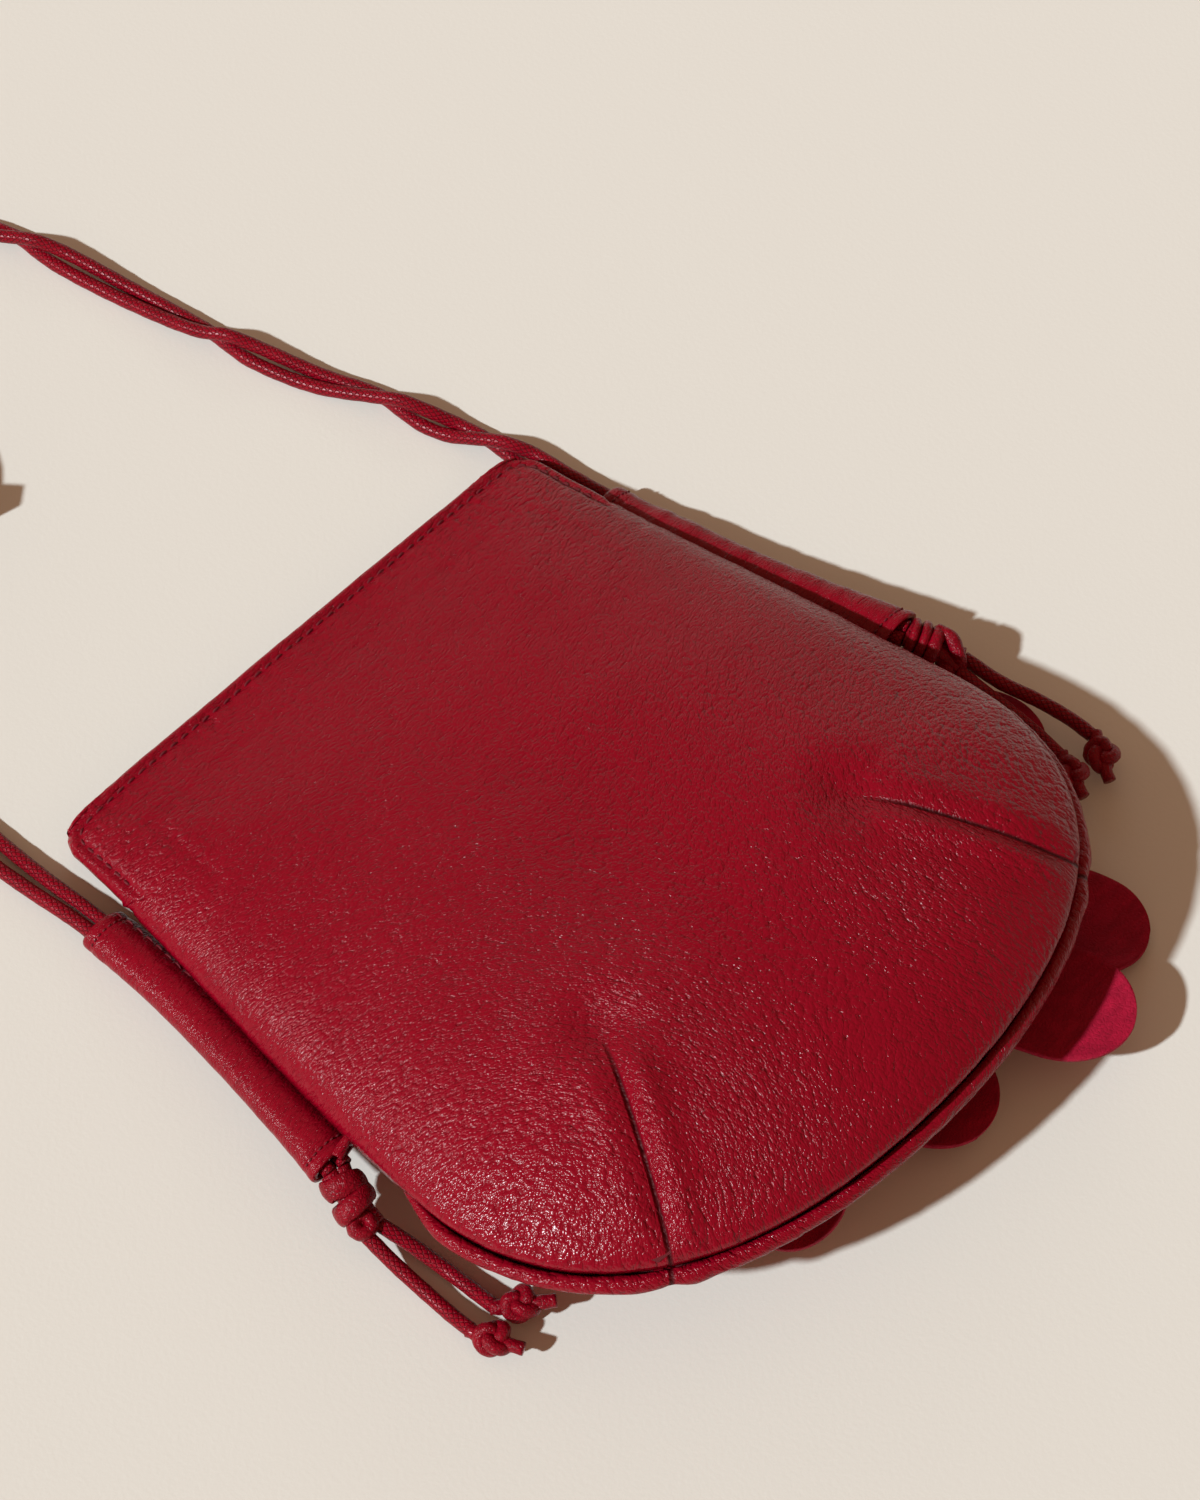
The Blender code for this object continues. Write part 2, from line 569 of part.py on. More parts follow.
def petal_half_width(share, widest):
    """Narrow at the root, widest past the middle, round at the tip."""
    return PETAL_ROOT_HALF_WIDTH * (1 - share) + widest * share ** 0.6 * (1 - share ** 6) ** 0.5


def add_petal(name, angle, wedge, length, tip_height, root_height, widest, surface):
    """A thin curved leaf that keeps to its own wedge; its root follows the panel above it."""
    rows = []
    reach = length - PETAL_ROOT_RADIUS
    for share in (0.0, 0.12, 0.3, 0.5, 0.7, 0.84, 0.94, 0.99):
        radius = PETAL_ROOT_RADIUS + reach * share
        room = radius * tan(wedge / 2) - PETAL_SIDE_GAP
        half = min(petal_half_width(share, widest), room)
        row = []
        for side in (-1.0, -0.5, 0.0, 0.5, 1.0):
            beside = half * side
            x = radius * cos(angle) - beside * sin(angle)
            y = radius * sin(angle) + beside * cos(angle)
            out = min(1.0, (hypot(x, y) - PETAL_ROOT_RADIUS) / reach)
            slope = -flower_slope() * y * (1 - out) ** 2
            row.append((x, y, root_height + (tip_height - root_height) * out + slope))
        rows.append(row)
    return add_sheet(name, np.array(rows), PETAL_THICKNESS, surface, flipped=True, offset=0.0)


def add_petals(surface):
    step = 2 * pi / len(OUTER_PETALS)
    layers = (("outer_petal", OUTER_PETALS, 0.0, PETAL_WEDGE, PETAL_HALF_WIDTH),
              ("middle_petal", MIDDLE_PETALS, step / 2, PETAL_WEDGE, PETAL_HALF_WIDTH),
              ("inner_petal", INNER_PETALS, 0.0, INNER_PETAL_WEDGE, INNER_PETAL_HALF_WIDTH))
    for layer, (name, petals, start, wedge, widest) in enumerate(layers):
        root_height = OUTER_ROOT_HEIGHT - layer * LAYER_DROP
        for index, (length, tip_height, turn) in enumerate(petals):
            angle = FIRST_PETAL_ANGLE + start + 2 * pi * index / len(petals) + radians(turn)
            add_petal(f"{name}_{index + 1}", angle, wedge, length, tip_height, root_height,
                      widest, surface)


def add_flower_base(surface):
    """A round pad between the petals and the front panel, tilted like the panel."""
    up = Vector((0.0, flower_slope(), 1.0)).normalized()
    bottom = OUTER_ROOT_HEIGHT + PETAL_THICKNESS / 2 + GAP
    thickness = front_height(MOUTH_Y) - GAP - bottom
    profile = ((0.0, 0.0), (BASE_RADIUS, 0.0), (BASE_RADIUS, thickness), (0.0, thickness))
    piece = add_turned("flower_base", profile, (0, 0, bottom), up, surface, sides=20)
    piece.data.set_sharp_from_angle(angle=radians(40))
    return piece


def add_button(surface):
    """A domed button with a flat face down and a shank up to the pad."""
    inner_petals = OUTER_ROOT_HEIGHT - 2 * LAYER_DROP - PETAL_THICKNESS / 2
    height = inner_petals - BUTTON_CLEARANCE
    shank_top = OUTER_ROOT_HEIGHT + PETAL_THICKNESS / 2 - GAP
    profile = ((0.0, 0.0), (BUTTON_FACE_RADIUS, 0.0),
               (BUTTON_RADIUS, height * 0.45), (BUTTON_RADIUS * 0.9, height * 0.8),
               (SHANK_RADIUS, height), (SHANK_RADIUS, shank_top), (0.0, shank_top))
    return add_turned("flower_button", profile, (0, 0, 0), (0, 0, 1), surface, sides=20)


def main():
    for old in list(bpy.data.objects):
        bpy.data.objects.remove(old)
    leather = material("bag_leather", (0.26, 0.003, 0.012), 0.42)
    suede = material("petal_leather", (0.30, 0.006, 0.020), 0.62)
    cloth = material("lining_cloth", (0.22, 0.010, 0.018), 0.85)
    cord = material("strap_cord", (0.27, 0.004, 0.012), 0.48)
    metal = material("snap_metal", (0.62, 0.60, 0.56), 0.30, 1.0)
    tie = material("tie_leather", (0.22, 0.004, 0.012), 0.60)
    add_panel("back_panel", 1, leather)
    add_panel("front_panel", -1, leather)
    add_facings(leather)
    add_linings(cloth)
    add_snap("snap_socket", 1, metal)
    add_snap("snap_stud", -1, metal)
    add_sleeve("right_sleeve", 1, RIGHT_SLEEVE_FROM_MOUTH, RIGHT_SLEEVE_LENGTH,
               RIGHT_SLEEVE_OUT, leather)
    add_sleeve("left_sleeve", -1, LEFT_SLEEVE_FROM_MOUTH, LEFT_SLEEVE_LENGTH,
               LEFT_SLEEVE_OUT, leather)
    for name, route in (("right_strap_cord_1", RIGHT_CORD_1), ("right_strap_cord_2", RIGHT_CORD_2),
                        ("left_strap_cord_1", LEFT_CORD_1), ("left_strap_cord_2", LEFT_CORD_2),
                        ("left_tail_1", LEFT_TAIL_1), ("left_tail_2", LEFT_TAIL_2),
                        ("right_tail_1", RIGHT_TAIL_1), ("right_tail_2", RIGHT_TAIL_2)):
        add_cord(name, route, cord)
    add_coil(cord)
    add_tie(tie)
    add_big_knot("left_knot", LEFT_KNOT, cord)
    add_big_knot("right_knot", RIGHT_KNOT, cord)
    for name, ends in (("left_end_knot_1", LEFT_END_KNOT_1), ("left_end_knot_2", LEFT_END_KNOT_2),
                       ("right_end_knot_1", RIGHT_END_KNOT_1), ("right_end_knot_2", RIGHT_END_KNOT_2)):
        add_end_knot(name, ends, cord)
    add_flower_base(suede)
    add_petals(suede)
    add_button(suede)


if __name__ == "__main__":
    main()
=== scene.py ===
"""Looks of a small crossbody bag of soft red leather that lies on its front on a pale floor.

Lengths are metres in the frame of the model: +Y runs along the bag towards its mouth, +Z is up.
Flat points are (x, s): x from the bag's middle line, s from the mouth.
"""

from math import cos, exp, pi, radians, sin, tan

import bpy
import numpy as np
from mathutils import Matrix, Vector


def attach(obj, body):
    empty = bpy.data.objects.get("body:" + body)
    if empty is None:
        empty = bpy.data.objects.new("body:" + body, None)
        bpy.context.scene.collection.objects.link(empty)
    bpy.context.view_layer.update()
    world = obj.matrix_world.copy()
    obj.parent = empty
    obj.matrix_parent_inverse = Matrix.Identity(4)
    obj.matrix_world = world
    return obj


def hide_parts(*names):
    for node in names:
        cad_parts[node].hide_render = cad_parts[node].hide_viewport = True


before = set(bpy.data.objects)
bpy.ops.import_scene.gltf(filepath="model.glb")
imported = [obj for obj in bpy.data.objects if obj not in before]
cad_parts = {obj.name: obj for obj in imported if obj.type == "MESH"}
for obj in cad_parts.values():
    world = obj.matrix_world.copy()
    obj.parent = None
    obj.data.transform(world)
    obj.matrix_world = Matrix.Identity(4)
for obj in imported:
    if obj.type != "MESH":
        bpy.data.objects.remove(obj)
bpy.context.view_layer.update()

bl_info = {
    "name": "Crossbody Bag",
    "version": (1, 0, 0),
    "blender": (4, 5, 0),
    "location": "View3D > Sidebar > Bag",
    "description": "Makes the visible pieces of a leather crossbody bag around its packed frame",
    "category": "Add Mesh",
}

# Bag outline and heights, as in the frame
SEAM_HALF_GAP = 0.0004
PANEL_THICKNESS = 0.0012
BAG_MIDDLE_X = -0.022
MOUTH_Y = 0.1225
BAG_LENGTH = 0.197
MOUTH_HALF_WIDTH = 0.0765
BAG_HALF_WIDTH = 0.0888
WIDEST_FROM_MOUTH = 0.1345
MOUTH_CORNER_RADIUS = 0.008
MOUTH_FLARE = 0.0022
SIDE_UPPER_HANDLE = 0.040
SIDE_LOWER_HANDLE = 0.042
BOTTOM_SIDE_HANDLE = 0.040
BOTTOM_FLATNESS = 0.055
SEAM_HEIGHT_AT_MOUTH = 0.0054
SEAM_SLOPE = 0.12
BACK_HEM_RISE = 0.0034
BACK_HEM_ARCH = 0.0010
BACK_FULLNESS = 0.0182
BACK_FULLNESS_RUN = 0.055
BACK_FULLNESS_POWER = 1.3
BACK_EDGE_RUN = 0.070
HEM_EDGE_RUN = 0.012
FRONT_HEM_DEPTH = 0.016
FRONT_LIFT = 0.0155
FRONT_LIFT_RUN = 0.085
FRONT_EDGE_RUN = 0.040
BACK_ROLL_REACH = 0.0018
BACK_ROLL_WIDTH = 0.0015
FRONT_ROLL_RADIUS = 0.0018
FRONT_ROLL_RUN = 0.0050
DEEPEST_FOLD = -0.00118
FLOOR_GAP = 0.00012
BACK_ROLL_START = 0.100
FRONT_ROLL_START = 0.104
ROLL_FADE = 0.038
FRONT_TUCK = 0.0034
FRONT_TUCK_FADE = 0.020

# Sleeves
RIGHT_SLEEVE_FROM_MOUTH = 0.0245
RIGHT_SLEEVE_LENGTH = 0.080
LEFT_SLEEVE_FROM_MOUTH = 0.0235
LEFT_SLEEVE_LENGTH = 0.084
SLEEVE_HALF_WIDTH = 0.0055
SLEEVE_HALF_HEIGHT = 0.00385
SLEEVE_WALL = 0.0013
RIGHT_SLEEVE_OUT = (0.0025, 0.0038, 0.0080)
LEFT_SLEEVE_OUT = (0.0064, 0.0037, 0.0046)

# Flower
PETAL_THICKNESS = 0.0012
PETAL_ROOT_RADIUS = 0.0046
PETAL_ROOT_HALF_WIDTH = 0.0020
PETAL_HALF_WIDTH = 0.0190
PETAL_WEDGE = radians(45)
INNER_PETAL_HALF_WIDTH = 0.0125
INNER_PETAL_WEDGE = radians(72)
OUTER_ROOT_HEIGHT = 0.0090
LAYER_DROP = 0.0022
PETAL_SIDE_GAP = 0.0006
FIRST_PETAL_ANGLE = radians(-11)
FLOWER_SLOPE = FRONT_LIFT / FRONT_LIFT_RUN * exp(-(MOUTH_Y - FRONT_HEM_DEPTH) / FRONT_LIFT_RUN)

# Length, tip height and extra turn in degrees of each petal, from FIRST_PETAL_ANGLE to the left
OUTER_PETALS = ((0.084, 0.0024, 0), (0.084, 0.0030, 0), (0.084, 0.0027, 0),
                (0.084, 0.0040, 0), (0.091, 0.0070, 0), (0.093, 0.0100, 0))
MIDDLE_PETALS = ((0.072, 0.0006, 0), (0.084, 0.0006, 0), (0.084, 0.0006, 0),
                 (0.084, 0.0006, 0), (0.080, 0.0053, 3), (0.092, 0.0007, -11))
INNER_PETALS = ((0.028, 0.0012, 0),) * 5

# Nets of the leather halves
BACK_ROWS, BACK_COLUMNS = 216, 208
FRONT_ROWS, FRONT_COLUMNS = 150, 150

# Strap cords: sides and steps of their nets, height of the plait's ridges
CORD_SIDES = 14
CORD_STEP = 0.0007
ROUTE_STEP = 0.0012
BRAID_DEPTH = 0.00007

# Coil of the strap: radii of its turns and heights of its four layers
COIL_STEPS_PER_TURN = 72
COIL_CENTRE = (-0.070, 0.228)
COIL_RADII = (0.0238, 0.0204, 0.0170, 0.0136)
COIL_ENTRY_RADIUS = 0.0276
LOWER_CORD_HEIGHTS = (0.0028, 0.0062)
UPPER_CORD_HEIGHTS = (0.0096, 0.0130)

# Routes of the cords, along the middle of each
RIGHT_CORD_1 = (
    (0.0753, 0.0170, 0.0139), (0.0720, 0.0318, 0.0121), (0.0683, 0.0486, 0.0101),
    (0.0649, 0.0654, 0.0081), (0.0620, 0.0822, 0.0061), (0.0601, 0.0980, 0.0042),
    (0.0584, 0.1110, 0.0036), (0.0567, 0.1207, 0.0044), (0.0536, 0.1272, 0.0058),
    (0.0505, 0.1337, 0.0044), (0.0477, 0.1405, 0.0020), (0.0455, 0.1478, 0.0018),
    (0.0452, 0.1549, 0.0018), (0.0449, 0.1620, 0.0018), (0.0395, 0.1765, 0.0020),
    (0.0332, 0.1937, 0.0044), (0.0301, 0.2002, 0.0058), (0.0270, 0.2067, 0.0044),
    (0.0220, 0.2285, 0.0020), (0.0179, 0.2504, 0.0018), (0.0176, 0.2575, 0.0018),
    (0.0173, 0.2646, 0.0018), (0.0098, 0.2810, 0.0018), (-0.0055, 0.2910, 0.0018),
    (-0.0250, 0.2875, 0.0020), (-0.0445, 0.2725, 0.0023), (-0.0590, 0.2602, 0.0026),
    (-0.0700, 0.2556, 0.0028))
RIGHT_CORD_2 = (
    (0.0718, 0.0157, 0.0140), (0.0683, 0.0318, 0.0121), (0.0646, 0.0486, 0.0101),
    (0.0612, 0.0654, 0.0081), (0.0583, 0.0822, 0.0061), (0.0564, 0.0980, 0.0041),
    (0.0548, 0.1105, 0.0026), (0.0539, 0.1201, 0.0018), (0.0536, 0.1272, 0.0018),
    (0.0533, 0.1343, 0.0018), (0.0517, 0.1415, 0.0020), (0.0483, 0.1484, 0.0044),
    (0.0452, 0.1549, 0.0058), (0.0421, 0.1614, 0.0044), (0.0355, 0.1755, 0.0020),
    (0.0304, 0.1931, 0.0018), (0.0301, 0.2002, 0.0018), (0.0298, 0.2073, 0.0018),
    (0.0260, 0.2295, 0.0020), (0.0207, 0.2510, 0.0044), (0.0176, 0.2575, 0.0058),
    (0.0145, 0.2640, 0.0044), (0.0060, 0.2772, 0.0024), (-0.0080, 0.2858, 0.0024),
    (-0.0245, 0.2822, 0.0032), (-0.0415, 0.2680, 0.0054), (-0.0575, 0.2578, 0.0082),
    (-0.0700, 0.2556, 0.0096))
LEFT_CORD_1 = (
    (-0.0976, 0.2280, 0.0062), (-0.1005, 0.2050, 0.0040), (-0.1036, 0.1800, 0.0023),
    (-0.1055, 0.1560, 0.0019), (-0.1055, 0.1340, 0.0020), (-0.1052, 0.1190, 0.0028),
    (-0.1045, 0.1060, 0.0037), (-0.1042, 0.0990, 0.0041), (-0.1046, 0.0822, 0.0061),
    (-0.1058, 0.0654, 0.0081), (-0.1077, 0.0486, 0.0101), (-0.1099, 0.0318, 0.0121),
    (-0.1126, 0.0130, 0.0143))
LEFT_CORD_2 = (
    (-0.0976, 0.2280, 0.0130), (-0.1030, 0.2060, 0.0095), (-0.1085, 0.1800, 0.0045),
    (-0.1115, 0.1560, 0.0020), (-0.1112, 0.1370, 0.0020), (-0.1098, 0.1190, 0.0028),
    (-0.1084, 0.1060, 0.0037), (-0.1080, 0.0990, 0.0041), (-0.1083, 0.0822, 0.0061),
    (-0.1095, 0.0654, 0.0081), (-0.1113, 0.0486, 0.0101), (-0.1136, 0.0318, 0.0121),
    (-0.1163, 0.0136, 0.0143))
LEFT_TAIL_1 = (
    (-0.1192, 0.0009, 0.0072), (-0.1190, -0.0080, 0.0046), (-0.1185, -0.0190, 0.0026),
    (-0.1185, -0.0255, 0.0029), (-0.1185, -0.0302, 0.0039))
LEFT_TAIL_2 = (
    (-0.1155, 0.0003, 0.0073), (-0.1134, -0.0075, 0.0048), (-0.1118, -0.0165, 0.0028),
    (-0.1113, -0.0240, 0.0030), (-0.1112, -0.0298, 0.0039))
RIGHT_TAIL_1 = (
    (0.0802, 0.0037, 0.0098), (0.0816, -0.0060, 0.0084), (0.0846, -0.0161, 0.0072),
    (0.0863, -0.0245, 0.0062), (0.0865, -0.0303, 0.0058))
RIGHT_TAIL_2 = (
    (0.0766, 0.0024, 0.0096), (0.0769, -0.0070, 0.0086), (0.0770, -0.0165, 0.0081),
    (0.0764, -0.0245, 0.0081), (0.0758, -0.0293, 0.0081))

# Threads of the stitches, and the net of one stitch
HEM_THREAD_RADIUS = 0.00033
SLEEVE_THREAD_RADIUS = 0.00026
STITCH_RINGS, STITCH_SIDES = 7, 6

# Ends of the knots: where the cords come in, where they leave
KNOT_ENDS = {
    "left_knot": ((-0.1152, 0.0129, 0.0133), (-0.1174, 0.0014, 0.0080)),
    "right_knot": ((0.0740, 0.0156, 0.0138), (0.0784, 0.0040, 0.0102)),
    "left_end_knot_1": ((-0.1183, -0.0314, 0.0043), (-0.1138, -0.0430, 0.0052)),
    "left_end_knot_2": ((-0.1106, -0.0310, 0.0044), (-0.1009, -0.0404, 0.0068)),
    "right_end_knot_1": ((0.0864, -0.0318, 0.0058), (0.0795, -0.0420, 0.0048)),
    "right_end_knot_2": ((0.0756, -0.0306, 0.0081), (0.0705, -0.0415, 0.0078)),
}

# Camera, found from the photograph
CAMERA_PLACE = (-0.3557, -0.2930, 0.7836)
CAMERA_AIM = (0.0079, 0.0520, 0.0)
CAMERA_LENS_MM = 96
CAMERA_FILM_MM = 36

# Floor and lamps
FLOOR_HALF_WIDTH = 3.0
FLOOR_LINES = 13
KEY_DIRECTION = (0.95, -0.22, -0.78)
KEY_STRENGTH = 3.52
KEY_SPREAD = radians(2.6)
PANEL_PLACE = (1.60, 1.50, 0.90)
PANEL_AIM = (0.0, 0.05, 0.0)
PANEL_WATTS = 2.4
SKY_STRENGTH = 0.30


class BagSizes(bpy.types.PropertyGroup):
    """Sizes of the bag's details."""
    cord_diameter: bpy.props.FloatProperty(
        name="Cord diameter", description="Thickness of the braided strap cord",
        default=0.0034, unit="LENGTH")
    stitch_pitch: bpy.props.FloatProperty(
        name="Stitch pitch", description="Distance from one hem stitch to the next",
        default=0.0033, unit="LENGTH")
    stitch_inset: bpy.props.FloatProperty(
        name="Stitch inset", description="Distance of the hem stitches from the edge",
        default=0.0030, unit="LENGTH")
    grain_size: bpy.props.FloatProperty(
        name="Grain size", description="Distance from one pebble of the leather to the next",
        default=0.0019, unit="LENGTH")
    dart_depth: bpy.props.FloatProperty(
        name="Dart depth", description="Depth of the creases that the darts make",
        default=0.0017, unit="LENGTH")
    petal_wave: bpy.props.FloatProperty(
        name="Petal wave", description="Height of the waves along the petals' edges",
        default=0.0020, unit="LENGTH")


class BagColours(bpy.types.PropertyGroup):
    """Colours of the bag and of the floor."""
    leather: bpy.props.FloatVectorProperty(
        name="Leather", description="Grained leather of the body", subtype="COLOR",
        size=3, default=(0.236, 0.0010, 0.0110))
    petals: bpy.props.FloatVectorProperty(
        name="Petals", description="Soft napped leather of the flower", subtype="COLOR",
        size=3, default=(0.390, 0.006, 0.035))
    cords: bpy.props.FloatVectorProperty(
        name="Cords", description="Braided leather of the strap", subtype="COLOR",
        size=3, default=(0.240, 0.0015, 0.011))
    lining: bpy.props.FloatVectorProperty(
        name="Lining", description="Woven cloth inside the bag", subtype="COLOR",
        size=3, default=(0.200, 0.010, 0.018))
    thread: bpy.props.FloatVectorProperty(
        name="Thread", description="Thread of the seams", subtype="COLOR",
        size=3, default=(0.180, 0.002, 0.011))
    floor: bpy.props.FloatVectorProperty(
        name="Floor", description="Plain floor that the bag lies on", subtype="COLOR",
        size=3, default=(0.782, 0.788, 0.725))


def sizes():
    return bpy.context.scene.bag_sizes


def colours():
    return bpy.context.scene.bag_colours


# Shapes as whole arrays

PATCH_CELLS = 96


def unit(vectors):
    """Vectors made one long."""
    return vectors / np.linalg.norm(vectors, axis=-1, keepdims=True)


def smooth(value):
    """Zero below 0, one above 1, and a smooth step between."""
    value = np.clip(value, 0.0, 1.0)
    return value * value * (3.0 - 2.0 * value)


def hump(value, middle, width):
    """A bell curve that is 1 at its middle."""
    return np.exp(-((value - middle) / width) ** 2)


def patchwork(x, y, size, seed):
    """Smooth heights from -1 to 1: a seeded grid of values a size apart, blended between."""
    grid = np.random.default_rng(seed).uniform(-1.0, 1.0, (PATCH_CELLS, PATCH_CELLS))
    across, upward = x / size + 31.7, y / size + 17.3
    i, j = np.floor(across).astype(int), np.floor(upward).astype(int)
    a, b = smooth(across - i), smooth(upward - j)
    west, east = i % PATCH_CELLS, (i + 1) % PATCH_CELLS
    south, north = j % PATCH_CELLS, (j + 1) % PATCH_CELLS
    near = grid[west, south] * (1 - a) + grid[east, south] * a
    far = grid[west, north] * (1 - a) + grid[east, north] * a
    return near * (1 - b) + far * b


def bezier(start, start_handle, end_handle, end, count=240):
    """A cubic curve between two points, drawn towards two handles."""
    t = np.linspace(0.0, 1.0, count)[:, None]
    points = [np.array(point) for point in (start, start_handle, end_handle, end)]
    return ((1 - t) ** 3 * points[0] + 3 * (1 - t) ** 2 * t * points[1]
            + 3 * (1 - t) * t ** 2 * points[2] + t ** 3 * points[3])


def side_curves():
    """The right half of the outline in three lines: from the bottom to the dart's foot, from there
    to the mouth corner, and along the mouth to its middle."""
    widest = (BAG_HALF_WIDTH, WIDEST_FROM_MOUTH)
    shoulder = (MOUTH_HALF_WIDTH, MOUTH_CORNER_RADIUS)
    bottom = bezier((0.0, BAG_LENGTH), (BOTTOM_FLATNESS, BAG_LENGTH),
                    (BAG_HALF_WIDTH, WIDEST_FROM_MOUTH + BOTTOM_SIDE_HANDLE), widest)
    side = bezier(widest, (BAG_HALF_WIDTH, WIDEST_FROM_MOUTH - SIDE_LOWER_HANDLE),
                  (MOUTH_HALF_WIDTH + MOUTH_FLARE, MOUTH_CORNER_RADIUS + SIDE_UPPER_HANDLE),
                  shoulder)
    angles = np.linspace(0.0, pi / 2, 41)[:, None]
    centre = np.array((MOUTH_HALF_WIDTH - MOUTH_CORNER_RADIUS, MOUTH_CORNER_RADIUS))
    corner = centre + MOUTH_CORNER_RADIUS * np.hstack((np.cos(angles), -np.sin(angles)))
    half = len(bottom) // 2
    to_foot = bottom[:half + 1]
    to_corner = np.vstack((bottom[half:], side[1:], corner[1:21]))
    to_middle = np.vstack((corner[20:], ((0.0, 0.0),)))
    return to_foot, to_corner, to_middle


def mirrored(points):
    """The same points on the left half: x negated."""
    return points * np.array((-1.0, 1.0))


def along(points, share):
    """Points at shares of a polyline's length."""
    steps = np.linalg.norm(np.diff(points, axis=0), axis=1)
    lengths = np.concatenate(((0.0,), np.cumsum(steps)))
    wanted = np.asarray(share) * lengths[-1]
    return np.stack([np.interp(wanted, lengths, points[:, axis])
                     for axis in range(points.shape[1])], axis=-1)


def polyline_length(points):
    """The lengths of a line's steps, added up."""
    return np.linalg.norm(np.diff(points, axis=0), axis=1).sum()


def patch(u, v):
    """Net over the outline, blended from its four sides: u across, v from bottom to mouth."""
    to_foot, to_corner, to_middle = side_curves()
    bottom = np.vstack((mirrored(to_foot)[::-1], to_foot[1:]))
    mouth = np.vstack((mirrored(to_middle), to_middle[::-1][1:]))
    right, left = to_corner, mirrored(to_corner)
    lower, upper = along(bottom, u), along(mouth, u)
    west, east = along(left, v), along(right, v)
    u, v = u[..., None], v[..., None]
    corners = ((1 - u) * (1 - v) * left[0] + u * (1 - v) * right[0]
               + (1 - u) * v * left[-1] + u * v * right[-1])
    return (1 - v) * lower + v * upper + (1 - u) * west + u * east - corners


def nearest_on(line, points):
    """The number of the line's point that lies nearest to each point, worked out in blocks."""
    blocks = len(points) * len(line) // 4000000 + 1
    return np.concatenate([
        np.argmin(np.sum((block[:, None, :] - line[None, :, :]) ** 2, axis=2), axis=1)
        for block in np.array_split(points, blocks)])


def measure_from(line, flat):
    """How far inside a line each flat point lies, the line's outward direction there and the way
    along the line to it."""
    share = np.linspace(0.0, 1.0, 2400)
    line = along(line, share)
    tangent = unit(np.gradient(line, axis=0))
    outward = np.stack((tangent[:, 1], -tangent[:, 0]), axis=1)
    inside = np.array((0.0, WIDEST_FROM_MOUTH / 2)) - line
    outward *= -np.sign(np.sum(outward * inside, axis=1))[:, None]
    points = flat.reshape(-1, 2)
    nearest = nearest_on(line, points)
    apart = points - line[nearest]
    straight = -np.sum(apart * outward[nearest], axis=1)
    distance = np.clip(straight, 0.0, None)
    far = np.linalg.norm(apart, axis=1)
    distance = np.where(far > 1.5 * distance + 0.001, far, distance)
    shape = flat.shape[:-1]
    way = share[nearest] * polyline_length(line)
    way = way + np.sum(apart * tangent[nearest], axis=1)
    return distance.reshape(shape), outward[nearest].reshape(flat.shape), way.reshape(shape)


def sewn_rim():
    """The sewn line: from the left mouth corner down, round the bottom and up to the right one."""
    to_foot, to_corner = side_curves()[:2]
    right = np.vstack((to_foot, to_corner[1:]))
    return np.vstack((mirrored(right)[::-1], right[1:]))


def free_edge():
    """The open edge: up the left slit, round the corners along the mouth, down the right slit."""
    to_corner, to_middle = side_curves()[1:]
    right = np.vstack((to_corner, to_middle[1:]))
    left_slit = right[right[:, 1] < LEFT_SLEEVE_FROM_MOUTH + 0.001]
    right_slit = right[right[:, 1] < RIGHT_SLEEVE_FROM_MOUTH + 0.001]
    return np.vstack((mirrored(left_slit), right_slit[::-1][1:]))


def seam_height(s):
    """Height of the sewn seam, which climbs evenly from the mouth."""
    return SEAM_HEIGHT_AT_MOUTH + SEAM_SLOPE * s


def front_height(s):
    """Height of the front's face, which climbs past the hem and levels off."""
    climb = np.clip(s - FRONT_HEM_DEPTH, 0.0, None) / FRONT_LIFT_RUN
    return FRONT_LIFT * (1.0 - np.exp(-climb))


def rounded_edge(distance, run):
    """A quarter ellipse that climbs from the sewn edge to the full height."""
    return np.sqrt(np.clip(1.0 - (1.0 - np.clip(distance / run, 0.0, 1.0)) ** 2, 0.0, 1.0))


